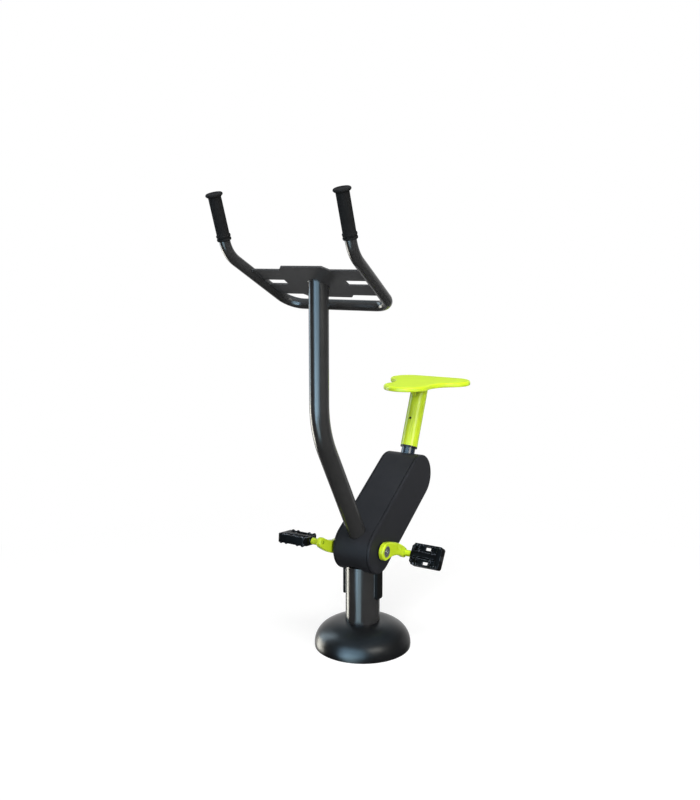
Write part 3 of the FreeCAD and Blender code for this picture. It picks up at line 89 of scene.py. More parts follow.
@dataclass(frozen=True)
class NodeDesk:
    """Places nodes in one tree of a material, a world or a group, and wires them."""

    tree: bpy.types.NodeTree

    def add(self, kind: str, *values: object, **settings: object) -> bpy.types.Node:
        """Place one node.

        Args:
            kind: Node type name.
            values: Numbers, vectors or sockets for the node's first inputs.
            settings: Attributes to set on the node.

        Returns:
            The new node.
        """
        node = self.tree.nodes.new(kind)
        for key, value in settings.items():
            setattr(node, key, value)
        for socket, value in zip(node.inputs, values):
            self.feed(socket, value)
        return node

    def feed(self, socket: Socket, value: object) -> None:
        """Link a socket to another one, or give it a plain value.

        Args:
            socket: Input to feed.
            value: Output socket, number, vector or colour.
        """
        if isinstance(value, Socket):
            self.tree.links.new(value, socket)
        else:
            socket.default_value = value

    def sum(self, operation: str, first: object, second: object, clamp: bool = False) -> Socket:
        """Result of one operation on two numbers."""
        return self.add("ShaderNodeMath", first, second, operation=operation, use_clamp=clamp).outputs[0]

    def times(self, first: object, second: object) -> Socket:
        """Product of two numbers."""
        return self.sum("MULTIPLY", first, second)

    def vector(self, operation: str, first: object, second: object, out: str = "Vector") -> Socket:
        """Result of one operation on two vectors."""
        return self.add("ShaderNodeVectorMath", first, second, operation=operation).outputs[out]

    def blend(self, share: object, first: object, second: object) -> Socket:
        """Mix two colours.

        Args:
            share: Share of the second colour.
            first: First colour or socket.
            second: Second colour or socket.

        Returns:
            The mixed colour's socket.
        """
        node = self.add("ShaderNodeMix", share, data_type="RGBA", blend_type="MIX")
        for socket, value in zip(node.inputs[6:8], (first, second)):
            self.feed(socket, (*value, 1.0) if isinstance(value, tuple) else value)
        return node.outputs[2]

    def spread(self, value: object, low: object, high: object, to_low: object = 0.0,
               to_high: object = 1.0) -> Socket:
        """Number mapped from one range onto another and kept inside it."""
        return self.add("ShaderNodeMapRange", value, low, high, to_low, to_high).outputs[0]

    def place(self) -> Socket:
        """Place on the object, in metres."""
        return self.add("ShaderNodeTexCoord").outputs["Object"]

    def upward(self, vector: Socket) -> Socket:
        """Upright share of a vector."""
        return self.add("ShaderNodeSeparateXYZ", vector).outputs["Z"]

    def noise(self, where: Socket, scale: object, detail: float, rough: float = 0.5) -> Socket:
        """Soft noise at a place, in waves per metre with finer layers."""
        given = (where, 0.0, scale, detail, rough)
        return self.add("ShaderNodeTexNoise", *given, noise_dimensions="3D").outputs[0]


@dataclass(frozen=True)
class GroupDesk(NodeDesk):
    """Desk of a node group, with the group's inputs and outputs by name."""

    given: dict[str, Socket]
    result: dict[str, Socket]

    def scaled(self, mask: Socket) -> None:
        """Give out a mask times the group's amount."""
        self.feed(self.result["Mask"], self.sum("MULTIPLY", mask, self.given["Amount"], clamp=True))


@dataclass(frozen=True)
class EffectGroup:
    """A shared surface effect, kept as one shader node group."""

    name: str
    inputs: dict[str, object]
    outputs: dict[str, str]
    wire: Callable[[GroupDesk], None]

    def tree(self) -> bpy.types.NodeTree:
        """Build the group on its first use.

        Returns:
            The group's node tree.
        """
        found = bpy.data.node_groups.get(self.name)
        if found is not None:
            return found
        tree = bpy.data.node_groups.new(self.name, "ShaderNodeTree")
        for label, default in self.inputs.items():
            kind = VECTOR if isinstance(default, tuple) else FLOAT
            tree.interface.new_socket(label, in_out="INPUT", socket_type=kind).default_value = default
        for label, kind in self.outputs.items():
            tree.interface.new_socket(label, in_out="OUTPUT", socket_type=kind)
        given = tree.nodes.new("NodeGroupInput").outputs
        result = tree.nodes.new("NodeGroupOutput").inputs
        self.wire(GroupDesk(tree, {s.name: s for s in given}, {s.name: s for s in result}))
        return tree

    def put(self, desk: NodeDesk, **values: object) -> dict[str, Socket]:
        """Place the group in a material with its own values.

        Args:
            desk: Desk of the material's tree.
            values: Input values by name, with _ for spaces.

        Returns:
            The group's outputs by name.
        """
        node = desk.add("ShaderNodeGroup", node_tree=self.tree())
        for key, value in values.items():
            desk.feed(node.inputs[key.replace("_", " ")], value)
        return {s.name: s for s in node.outputs}


def wire_grain(desk: GroupDesk) -> None:
    """Fine paint or mould grain with a slow change of tone.

    Args:
        desk: Desk of the group.
    """
    where = desk.place()
    scale = desk.given["Grain Scale"]
    fine = desk.noise(where, scale, 2.0)
    coarse = desk.noise(where, desk.times(scale, COARSE_SCALE), 1.0)
    height = desk.sum("ADD", desk.times(fine, FINE_SHARE), desk.times(coarse, 1.0 - FINE_SHARE))
    desk.feed(desk.result["Height"], height)
    slow = desk.noise(where, desk.given["Tone Scale"], 4.0, 0.6)
    desk.feed(desk.result["Tone"], desk.spread(slow, *TONE_SPAN))


def wire_edge(desk: GroupDesk) -> None:
    """Rounded shading on sharp edges, and a broken mask for rubbed wear and painted edge highlights.

    Args:
        desk: Desk of the group.
    """
    soft = desk.add("ShaderNodeBevel", desk.given["Width"], samples=6).outputs["Normal"]
    true_normal = desk.add("ShaderNodeNewGeometry").outputs["True Normal"]
    alike = desk.vector("DOT_PRODUCT", soft, true_normal, "Value")
    sharp = desk.spread(alike, *SHARP_SPAN)
    broken = desk.spread(desk.noise(desk.place(), *RUB_NOISE), *RUB_SPAN)
    desk.scaled(desk.times(sharp, broken))
    desk.feed(desk.result["Normal"], soft)


def wire_crevice(desk: GroupDesk) -> None:
    """Painted shade in grooves, corners and pockets, from ambient occlusion.

    Args:
        desk: Desk of the group.
    """
    open_share = desk.add("ShaderNodeAmbientOcclusion", samples=8, only_local=False)
    desk.feed(open_share.inputs["Distance"], desk.given["Reach"])
    desk.scaled(desk.spread(open_share.outputs["AO"], *GRIME_SPAN))


def wire_dust(desk: GroupDesk) -> None:
    """Thin dust that settles on upward faces and low down.

    Args:
        desk: Desk of the group.
    """
    level = desk.spread(desk.upward(desk.add("ShaderNodeNewGeometry").outputs["Normal"]), *LEVEL_SPAN)
    where = desk.place()
    cloud = desk.spread(desk.noise(where, *CLOUD_NOISE), *CLOUD_SPAN)
    low = desk.spread(desk.upward(where), *SPLASH_SPAN)
    desk.scaled(desk.sum("ADD", desk.times(level, cloud), desk.times(low, cloud), clamp=True))


def wire_rings(desk: GroupDesk) -> None:
    """Turning marks around an axis along X.

    Args:
        desk: Desk of the group.
    """
    off = desk.vector("SUBTRACT", desk.place(), desk.given["Centre"])
    radius = desk.vector("LENGTH", desk.vector("MULTIPLY", off, (0.0, 1.0, 1.0)), ORIGIN, "Value")
    given = (ORIGIN, radius, desk.given["Lines"], 3.0)
    line = desk.add("ShaderNodeTexNoise", *given, noise_dimensions="1D").outputs[0]
    desk.feed(desk.result["Height"], line)
    desk.feed(desk.result["Tone"], desk.spread(line, *TONE_SPAN))


GRAIN = EffectGroup("surface_grain", {"Grain Scale": 900.0, "Tone Scale": 9.0},
                    {"Height": FLOAT, "Tone": FLOAT}, wire_grain)
EDGE = EffectGroup("edge_rub", {"Width": 0.001, "Amount": 0.3}, {"Mask": FLOAT, "Normal": VECTOR}, wire_edge)
# Painted shade: ambient occlusion darkens the colour in grooves, corners and pockets.
CREVICE = EffectGroup("crevice_grime", {"Reach": 0.005, "Amount": 0.3}, {"Mask": FLOAT}, wire_crevice)
DUST = EffectGroup("settled_dust", {"Amount": 0.1}, {"Mask": FLOAT}, wire_dust)
RINGS = EffectGroup("turning_rings", {"Centre": ORIGIN, "Lines": 1500.0},
                    {"Height": FLOAT, "Tone": FLOAT}, wire_rings)


# Finishes

@dataclass(frozen=True)
class Finish:
    """A coated or moulded surface with grain, slow tone, dust, rubbed edges with painted edge highlights, and
    painted shade in crevices.
    """

    name: str
    colour: Colour
    roughness: float
    metallic: float = 0.0
    specular: float = 0.5
    coat: float = 0.0
    grain_scale: float = 900.0
    grain_depth: float = 0.000012
    tone_scale: float = 9.0
    tone_swing: float = 0.10
    shine_swing: float = 0.06
    edge_width: float = 0.0010
    # Edge colour: rubbed wear, and a painted highlight where it is much lighter than the surface.
    edge_colour: Colour = (0.10, 0.10, 0.10)
    edge_amount: float = 0.25
    # Painted shade: colour, strength and reach of the ambient-occlusion darkening in crevices.
    grime_colour: Colour = (0.002, 0.002, 0.002)
    grime_amount: float = 0.3
    grime_reach: float = 0.005
    dust_colour: Colour = (0.30, 0.28, 0.25)
    dust_amount: float = 0.04

    def material(self) -> bpy.types.Material:
        """Build the material on its first use.

        Returns:
            The material.
        """
        found = bpy.data.materials.get(self.name)
        if found is not None:
            return found
        made = bpy.data.materials.new(self.name)
        made.use_nodes = True
        desk = NodeDesk(made.node_tree)
        shader = made.node_tree.nodes["Principled BSDF"]
        for label, value in (("Metallic", self.metallic), ("Specular IOR Level", self.specular),
                             ("Coat Weight", self.coat), ("Coat Roughness", COAT_ROUGHNESS)):
            shader.inputs[label].default_value = value
        height, tone = self.relief(desk)
        edge = EDGE.put(desk, Width=self.edge_width, Amount=self.edge_amount)
        grime = CREVICE.put(desk, Reach=self.grime_reach, Amount=self.grime_amount)["Mask"]
        dust = DUST.put(desk, Amount=self.dust_amount)["Mask"]
        dark = tuple(c * (1.0 - self.tone_swing) for c in self.colour)
        light = tuple(min(1.0, c * (1.0 + self.tone_swing)) for c in self.colour)
        colour = desk.blend(tone, dark, light)
        # Edge mask blends in the edge colour: rubbed wear, and painted highlights along edges.
        colour = desk.blend(edge["Mask"], colour, self.edge_colour)
        # Painted shade: the crevice colour is blended in where ambient occlusion finds corners and grooves.
        colour = desk.blend(grime, colour, self.grime_colour)
        desk.feed(shader.inputs["Base Color"], desk.blend(dust, colour, self.dust_colour))
        rough = desk.sum("ADD", self.shine(desk, tone), desk.times(dust, DUST_DULLS))
        rough = desk.sum("ADD", rough, desk.times(edge["Mask"], EDGE_DULLS), clamp=True)
        desk.feed(shader.inputs["Roughness"], rough)
        bump = desk.add("ShaderNodeBump", 1.0, self.grain_depth)
        desk.feed(bump.inputs["Height"], height)
        desk.feed(bump.inputs["Normal"], edge["Normal"])
        desk.feed(shader.inputs["Normal"], bump.outputs["Normal"])
        return made

    def grain(self, desk: NodeDesk) -> dict[str, Socket]:
        """Place the fine grain of the surface."""
        return GRAIN.put(desk, Grain_Scale=self.grain_scale, Tone_Scale=self.tone_scale)

    def relief(self, desk: NodeDesk) -> tuple[Socket, Socket]:
        """Height and tone of the surface."""
        grain = self.grain(desk)
        return grain["Height"], grain["Tone"]

    def shine(self, desk: NodeDesk, tone: Socket) -> Socket:
        """Roughness that wanders with the tone."""
        low, high = self.roughness - self.shine_swing, self.roughness + self.shine_swing
        return desk.spread(tone, 0.0, 1.0, low, high)


@dataclass(frozen=True)
class GrainedTop(Finish):
    """Moulding with a matt, grained top and glossy rounded rims."""

    top_roughness: float = 0.65
    top_span: Pair = (0.90, 0.99)

    def shine(self, desk: NodeDesk, tone: Socket) -> Socket:
        """Roughness that rises to the top's own on level faces."""
        level = desk.spread(desk.upward(desk.add("ShaderNodeNewGeometry").outputs["Normal"]), *self.top_span)
        return desk.spread(level, 0.0, 1.0, super().shine(desk, tone), self.top_roughness)


@dataclass(frozen=True)
class TurnedMetal(Finish):
    """Lathe-turned metal with rings about an axis along X."""

    centre: Point = (0.0, 0.0, AXLE_HIGH)
    lines: float = 1500.0
    grain_share: float = 0.25

    def relief(self, desk: NodeDesk) -> tuple[Socket, Socket]:
        """Height and tone from turning rings over a fine grain.

        Args:
            desk: Desk of the material's tree.

        Returns:
            Height socket and tone socket.
        """
        grain = self.grain(desk)
        rings = RINGS.put(desk, Centre=self.centre, Lines=self.lines)
        height = desk.sum("ADD", desk.times(grain["Height"], self.grain_share), rings["Height"])
        halves = [desk.times(part["Tone"], 0.5) for part in (grain, rings)]
        return height, desk.sum("ADD", *halves)


@dataclass(frozen=True)
class StippledRubber(Finish):
    """Soft rubber with a pressed stipple."""

    stipple: float = 420.0
    dome_wide: float = 0.6
    grain_share: float = 0.3

    def relief(self, desk: NodeDesk) -> tuple[Socket, Socket]:
        """Height from round stipple cells over a fine grain.

        Args:
            desk: Desk of the material's tree.

        Returns:
            Height socket and tone socket.
        """
        grain = self.grain(desk)
        cells = desk.add("ShaderNodeTexVoronoi", desk.place(), 0.0, self.stipple, feature="SMOOTH_F1")
        domes = desk.spread(cells.outputs["Distance"], 0.0, self.dome_wide, 1.0, 0.0)
        height = desk.sum("ADD", domes, desk.times(grain["Height"], self.grain_share))
        return height, grain["Tone"]


PAINT = partial(Finish, grain_scale=1100.0, grain_depth=0.000002)


class Finishes(Enum):
    """Every finish on the bike."""

    FRAME_COAT = PAINT("frame_coat", (0.033, 0.033, 0.033), 0.21, edge_colour=(0.04, 0.04, 0.042),
                       dust_amount=0.012)
    MAST_COAT = PAINT("mast_coat", (0.014, 0.025, 0.042), 0.26, specular=0.9, edge_colour=(0.04, 0.04, 0.042),
                      dust_amount=0.01)
    CONSOLE_COAT = PAINT("console_coat", (0.055, 0.055, 0.056), 0.36, specular=0.3, grain_depth=0.000003,
                         edge_colour=(0.05, 0.05, 0.052), dust_amount=0.012)
    # Far darker than the frame paint that the bearing plates belong with: painted shade.
    PLATE_COAT = PAINT("plate_coat", (0.006, 0.006, 0.0062), 0.45, specular=0.1,
                       edge_colour=(0.03, 0.03, 0.032), dust_amount=0.01)
    DOME_COAT = Finish("dome_coat", (0.005, 0.0053, 0.0060), 0.33, grain_scale=800.0,
                       grain_depth=0.000004, edge_colour=(0.03, 0.03, 0.03), dust_amount=0.008)
    # Light bluish edge colour at a high amount: painted highlight lines on the cover edges; the short crevice
    # darkening paints shade in the seam grooves.
    HOUSING_SHELL = Finish("housing_shell", (0.0228, 0.0236, 0.0272), 0.46, specular=0.08, grain_scale=650.0,
                           grain_depth=0.000010, edge_colour=(0.09, 0.10, 0.12), edge_amount=0.8,
                           edge_width=0.0008, grime_amount=0.95, grime_reach=0.004, dust_amount=0.012)
    # Lighter lime edge colour: painted highlight on edges; dark olive crevice colour: painted shade in
    # corners.
    LIME_COAT = PAINT("lime_coat", (0.60, 0.79, 0.027), 0.24, specular=0.4, coat=0.1, grain_scale=1200.0,
                      tone_swing=0.03, edge_colour=(0.64, 0.80, 0.06), edge_amount=0.12,
                      grime_colour=(0.05, 0.065, 0.002), grime_amount=0.8, grime_reach=0.007,
                      dust_amount=0.01)
    # Copy of the lime coat whose crevice darkening reaches far: painted shadow of the saddle on the sleeve
    # top, gusset and pan.
    SLEEVE_COAT = replace(LIME_COAT, name="sleeve_coat", grime_colour=(0.06, 0.075, 0.003), grime_amount=1.0,
                          grime_reach=0.075)
    # Lighter lime edge colour: painted highlight on the saddle's edges.
    LIME_MOULD = GrainedTop("lime_mould", (0.62, 0.845, 0.021), 0.34, specular=0.4,
                            grain_depth=0.000004, tone_swing=0.03, edge_colour=(0.66, 0.84, 0.06),
                            edge_amount=0.1, dust_amount=0.01)
    GRIP_RUBBER = StippledRubber("pressed_rubber", (0.013, 0.013, 0.0132), 0.66, specular=0.04,
                                 grain_depth=0.00003, edge_colour=(0.02, 0.02, 0.022), edge_amount=0.12,
                                 dust_amount=0.004)
    # Pale blue edge colour at full amount: painted highlights along the rib and pocket edges; crevice
    # darkening paints shade in the pockets.
    PEDAL_MOULD = Finish("pedal_mould", (0.0022, 0.0022, 0.0023), 0.42, specular=0.08, grain_scale=700.0,
                         grain_depth=0.000004, edge_colour=(0.60, 0.70, 0.84), edge_amount=1.0,
                         edge_width=0.0017, grime_amount=0.5, dust_amount=0.006)
    BLACK_MOULD = Finish("black_mould", (0.012, 0.012, 0.013), 0.45, grain_scale=700.0, grain_depth=0.000008,
                         dust_amount=0.01)
    # Near-black: black oxide of the screw, and painted shade that makes the lock hole read as a dark dot.
    SOOT_BLACK = Finish("soot_black", (0.003, 0.003, 0.003), 0.75, specular=0.15,
                        grain_depth=0.000005, edge_colour=(0.006, 0.006, 0.006), dust_amount=0.003)
    BRIGHT_CAP = TurnedMetal("bright_cap", (0.66, 0.67, 0.67), 0.24, metallic=0.88, grain_depth=0.00002,
                             edge_colour=(0.8, 0.8, 0.8), dust_amount=0.02)
    BRIGHT_STEEL = Finish("plated_steel", (0.50, 0.51, 0.52), 0.34, metallic=1.0, grain_scale=1500.0,
                          grain_depth=0.00003, edge_colour=(0.7, 0.7, 0.7), dust_amount=0.02)
    DARK_SCREW = Finish("dark_screw", (0.045, 0.045, 0.047), 0.36, metallic=0.6, grain_scale=1500.0,
                        grain_depth=0.00003, edge_colour=(0.22, 0.22, 0.22), edge_amount=0.6)
    PRIMED_STEEL = Finish("primed_steel", (0.055, 0.056, 0.058), 0.55, grain_scale=800.0, grain_depth=0.00008)
    CAST_WHEEL = TurnedMetal("turned_casting", (0.10, 0.10, 0.105), 0.48, metallic=0.7,
                             centre=(0.0, *WHEEL_AT), lines=900.0, grain_depth=0.00006)
    BELT_RUBBER = Finish("belt_rubber", (0.012, 0.012, 0.012), 0.70, grain_scale=500.0, grain_depth=0.00015)


def dress(finish: Finishes, *nodes: str) -> None:
    """Give frame nodes a finish.

    Args:
        finish: Finish to use.
        nodes: Names of the frame nodes.
    """
    for name in nodes:
        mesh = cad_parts[name].data
        mesh.materials.clear()
        mesh.materials.append(finish.value.material())
        LOG.info("dressed %s in %s", name, finish.value.name)


# Mesh building blocks

@dataclass
class Maker:
    """Turns finished bmesh data into a piece that rides on a body."""

    body: str
    finish: Finishes
    slot: str

    def piece(self, name: str, shape: Shape, *stands_for: str, smooth_deg: float = 40.0) -> None:
        """Make one piece.

        Args:
            name: Name of the piece.
            shape: Mesh in the frame's own metres; it is freed.
            stands_for: Frame nodes that the piece replaces.
            smooth_deg: Edges sharper than this stay sharp.
        """
        bmesh.ops.recalc_face_normals(shape, faces=shape.faces)
        limit = radians(smooth_deg)
        for face in shape.faces:
            face.smooth = True
        for edge in shape.edges:
            edge.smooth = len(edge.link_faces) == 2 and edge.calc_face_angle(0.0) < limit
        mesh = bpy.data.meshes.new(name)
        shape.to_mesh(mesh)
        shape.free()
        made = bpy.data.objects.new(name, mesh)
        bpy.context.scene.collection.objects.link(made)
        mesh.materials.append(self.finish.value.material())
        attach(made, self.body)
        if stands_for:
            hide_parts(*stands_for)
        LOG.info("made %s on %s with %d faces", name, self.body, len(mesh.polygons))


def cross_axes(direction: Vector) -> tuple[Vector, Vector]:
    """Two unit directions square to a third.

    Args:
        direction: Unit direction.

    Returns:
        Both directions.
    """
    helper = Vector((1.0, 0.0, 0.0)) if abs(direction.x) < 0.9 else Vector((0.0, 0.0, 1.0))
    first = (helper - direction * helper.dot(direction)).normalized()
    return first, direction.cross(first)


def bridge(shape: Shape, first: Sequence, second: Sequence) -> None:
    """Join two rings of equal length, or a ring and a point, with faces.

    Args:
        shape: Mesh to add to.
        first: First ring.
        second: Second ring.
    """
    count = max(len(first), len(second))
    for i in range(count):
        j = (i + 1) % count
        if len(first) == 1:
            shape.faces.new((first[0], second[i], second[j]))
        elif len(second) == 1:
            shape.faces.new((first[i], first[j], second[0]))
        else:
            shape.faces.new((first[i], first[j], second[j], second[i]))


def ring(shape: Shape, at: Vector, direction: Vector, count: int, reach: Callable[[float], float]) -> Ring:
    """Points around an axis.

    Args:
        shape: Mesh to add to.
        at: Middle of the ring.
        direction: Unit direction of the axis.
        count: Points around.
        reach: Radius at an angle.

    Returns:
        The new points.
    """
    side, other = cross_axes(direction)
    angles = [2.0 * pi * i / count for i in range(count)]
    return [shape.verts.new(at + (side * cos(angle) + other * sin(angle)) * reach(angle)) for angle in angles]


def skin(shape: Shape, rings: Sequence[Ring]) -> None:
    """Join each ring to the next one."""
    for low, high in zip(rings, rings[1:]):
        bridge(shape, low, high)


def lathe(shape: Shape, origin: Vector, direction: Vector, profile: Outline, count: int,
          flute: Callable[[float, float], float] = lambda height, angle: 0.0) -> None:
    """Turn a profile about an axis.

    Args:
        shape: Mesh to add to.
        origin: Point on the axis where the profile's height is 0.
        direction: Unit direction of the axis.
        profile: Pairs of radius and height; a radius of 0 closes the form.
        count: Points around.
        flute: Change of radius at a height and an angle.
    """
    rings = []
    for radius, height in profile:
        at = origin + direction * height
        if radius <= 0.0:
            rings.append([shape.verts.new(at)])
        else:
            rings.append(ring(shape, at, direction, count, lambda angle: radius + flute(height, angle)))
    skin(shape, rings)


def arc_profile(centre: Pair, radius: float, start: float, end: float, steps: int) -> list[Pair]:
    """Points of an arc in a profile, from one angle in degrees to another."""
    angles = [radians(start + (end - start) * i / steps) for i in range(steps + 1)]
    return [(centre[0] + radius * cos(angle), centre[1] + radius * sin(angle)) for angle in angles]


@dataclass(frozen=True)
class Bead:
    """A rippled weld bead, with the length of one ripple."""

    radius: float
    pitch: float
    around: int = 10
    trough: float = 0.84
    run_out: float = 3.0
    blunt: float = 0.35

    def lay(self, shape: Shape, path: Sequence[Vector], closed: bool = False) -> None:
        """Lay the bead along a line.

        Args:
            shape: Mesh to add to.
            path: Points of the line.
            closed: The line ends where it starts.
        """
        count = len(path)
        rings = []
        travelled = 0.0
        for i, at in enumerate(path):
            ahead = path[(i + 1) % count] if closed or i + 1 < count else at
            behind = path[i - 1] if closed or i > 0 else at
            if i:
                travelled += (at - path[i - 1]).length
            wave = abs(sin(pi * travelled / self.pitch))
            reach = self.radius * (self.trough + (1.0 - self.trough) * wave)
            if not closed:
                reach *= sin(pi / 2.0 * min(1.0, (min(i, count - 1 - i) + self.blunt) / self.run_out))
            rings.append(ring(shape, at, (ahead - behind).normalized(), self.around, lambda angle: reach))
        skin(shape, rings)
        if closed:
            bridge(shape, rings[-1], rings[0])
        else:
            shape.faces.new(rings[0])
            shape.faces.new(rings[-1])


FRAME_BEAD = Bead(0.0022, 0.0042)
STEM_BEAD = Bead(0.0026, 0.0046)
SEAT_BEAD = Bead(0.0017, 0.0036)


def block(x_low: float, x_high: float, y_low: float, y_high: float) -> list[Pair]:
    """Corners of an upright rectangle."""
    return [(x_low, y_low), (x_high, y_low), (x_high, y_high), (x_low, y_high)]


def rounded(corners: Outline, radius: float, steps: int = 6) -> list[Pair]:
    """Outline with its corners rounded.

    Args:
        corners: Corners in order.
        radius: Radius of each corner.
        steps: Steps of each arc.

    Returns:
        Points of the outline.
    """
    points = []
    for i, corner in enumerate(corners):
        at = Vector(corner)
        back = (Vector(corners[i - 1]) - at).normalized()
        ahead = (Vector(corners[(i + 1) % len(corners)]) - at).normalized()
        half = back.angle(ahead) / 2.0
        centre = at + (back + ahead).normalized() * radius / sin(half)
        start = at + back * radius / tan(half) - centre
        end = at + ahead * radius / tan(half) - centre
        turn = start.angle_signed(end)
        for k in range(steps + 1):
            arm = start.copy()
            arm.rotate(Matrix.Rotation(-turn * k / steps, 2))
            points.append(tuple(centre + arm))
    return points


def plate(shape: Shape, outlines: Sequence[Outline], half: float, soft: float) -> None:
    """Flat plate with rounded edges from an outline and the outlines of its holes.

    Args:
        shape: Mesh to add to.
        outlines: Outer outline, then the holes.
        half: Half of the thickness.
        soft: Radius of the edges.
    """
    curve = bpy.data.curves.new("plate_outline", "CURVE")
    curve.dimensions = "2D"
    curve.fill_mode = "BOTH"
    curve.extrude = half - soft
    curve.bevel_depth = soft
    curve.bevel_resolution = 2
    curve.offset = -soft
    for points in outlines:
        spline = curve.splines.new("POLY")
        spline.points.add(len(points) - 1)
        for point, (x, y) in zip(spline.points, points):
            point.co = (x, y, 0.0, 1.0)
        spline.use_cyclic_u = True
    holder = bpy.data.objects.new("plate_outline", curve)
    mesh = bpy.data.meshes.new_from_object(holder)
    shape.from_mesh(mesh)
    bpy.data.objects.remove(holder)
    bpy.data.curves.remove(curve)
    bpy.data.meshes.remove(mesh)
    bmesh.ops.remove_doubles(shape, verts=shape.verts, dist=WELD_GAP)


def straight(start: Vector, end: Vector, step: float = 0.0012) -> list[Vector]:
    """Even points from one end of a line to the other."""
    count = max(2, round((end - start).length / step))
    return [start.lerp(end, i / count) for i in range(count + 1)]


def socket_head(shape: Shape, origin: Vector, direction: Vector, radius: float, height: float,
                socket: float, deep: float) -> None:
    """Round button head with a six-sided socket.

    Args:
        shape: Mesh to add to.
        origin: Middle of the head's seat.
        direction: Unit direction out of the head.
        radius: Radius of the head.
        height: Height of the head.
        socket: Radius to the socket's corners.
        deep: Depth of the socket.
    """
    def hexagon(angle: float) -> float:
        """Radius of the socket's outline at an angle."""
        return socket * cos(pi / 6.0) / cos((angle % (pi / 3.0)) - pi / 6.0)

    rings = []
    for share, up in HEAD_CROWN:
        at = origin + direction * (height * up)
        rings.append(ring(shape, at, direction, HEAD_POINTS, lambda angle: radius * share))
    for share, level in ((SOCKET_FLARE, height), (1.0, height - SOCKET_LIP), (1.0, height - deep)):
        at = origin + direction * level
        rings.append(ring(shape, at, direction, HEAD_POINTS, lambda angle: hexagon(angle) * share))
    skin(shape, rings)
    bridge(shape, rings[-1], [shape.verts.new(origin + direction * (height - deep * SOCKET_TIP))])
    bridge(shape, [shape.verts.new(origin)], rings[0])


# Sub-assemblies

@dataclass
class BaseStand:
    """Domed foot, post and the two bearing plates."""

    post_rad: float = 0.05715
    plate_half: float = 0.0175
    plate_low: float = 0.170
    plate_high: float = 0.2575
    bead_out: float = 0.0008
    bead_start: float = 0.006
    foot_share: float = 0.66
    foot_steps: int = 26

    def build(self) -> None:
        """Dress the stand and lay the plate welds."""
        dress(Finishes.FRAME_COAT, "post", "post_cap")
        # Bearing plates take the darker copy of the frame paint, as painted shade.
        dress(Finishes.PLATE_COAT, "bearing_plate_left", "bearing_plate_right")
        dress(Finishes.DOME_COAT, "base_cover")
        dress(Finishes.PRIMED_STEEL, "base_flange")
        self.plate_welds()

    def on_post(self, side: float, y: float) -> Vector:
        """Point on the post's side at the foot of a bearing plate."""
        return Vector((side * sqrt(self.post_rad ** 2 - y * y), y, self.plate_low))

    def plate_welds(self) -> None:
        """Beads up both long sides and under the foot of each bearing plate."""
        shape = bmesh.new()
        seat = sqrt(self.post_rad ** 2 - self.plate_half ** 2)
        for side in SIDES:
            for edge in SIDES:
                x, y = side * (seat + self.bead_out), edge * (self.plate_half + BEAD_OFF)
                ends = [Vector((x, y, z)) for z in (self.plate_low + self.bead_start, self.plate_high)]
                FRAME_BEAD.lay(shape, straight(*ends))
            reach = self.plate_half * self.foot_share
            FRAME_BEAD.lay(shape, [self.on_post(side, reach * (2.0 * i / self.foot_steps - 1.0))
                                   for i in range(self.foot_steps + 1)])
        Maker("frame", Finishes.FRAME_COAT, "frame_black").piece("plate_welds", shape)


@dataclass
class DriveHousing:
    """Moulded housing with its cover screws and the steel inside it."""

    slope_deg: float = 34.0
    span: float = 0.340
    half: float = 0.070
    radius: float = 0.0775
    mid_edge: float = 0.0175
    tip_edge: float = 0.0125
    tip_off: float = 0.021
    shank_rad: float = 0.003
    shank_end: float = 0.058
    head_rad: float = 0.0055
    head_high: float = 0.003
    socket_rad: float = 0.0023
    socket_deep: float = 0.0019
    shank_points: int = 20

    def build(self) -> None:
        """Dress the housing and make its screws."""
        dress(Finishes.HOUSING_SHELL, "housing_band", "cover_left", "cover_right")
        dress(Finishes.PRIMED_STEEL, "crank_shell", "shell_support", "spine_beam", "drive_shell",
              "brake_plate")
        dress(Finishes.BRIGHT_STEEL, "crank_bearings", "drive_bearings", "brake_magnets")
        self.cover_screws()

    def screw_places(self) -> list[Pair]:
        """Screw centres.

        Returns:
            Pairs of Y and Z.
        """
        middle = self.radius - self.mid_edge
        reach = self.radius - self.tip_edge
        tip = sqrt(reach ** 2 - self.tip_off ** 2)
        local = [(self.span / 2, middle), (self.span / 2, -middle), (-tip, self.tip_off),
                 (self.span + tip, -self.tip_off)]
        slope = radians(self.slope_deg)
        return [(u * cos(slope) - v * sin(slope), AXLE_HIGH + u * sin(slope) + v * cos(slope))
                for u, v in local]

    def cover_screws(self) -> None:
        """Button-head screws through the far cover."""
        shape = bmesh.new()
        out = Vector((-1.0, 0.0, 0.0))
        end = self.half + self.shank_end
        for y, z in self.screw_places():
            seat = Vector((-self.half, y, z))
            socket_head(shape, seat, out, self.head_rad, self.head_high, self.socket_rad, self.socket_deep)
            lathe(shape, seat, -out, [(0.0, 0.0), (self.shank_rad, 0.0), (self.shank_rad, end), (0.0, end)],
                  self.shank_points)
        Maker("frame", Finishes.DARK_SCREW, "bright_steel").piece("cover_screws", shape, "cover_bolts")


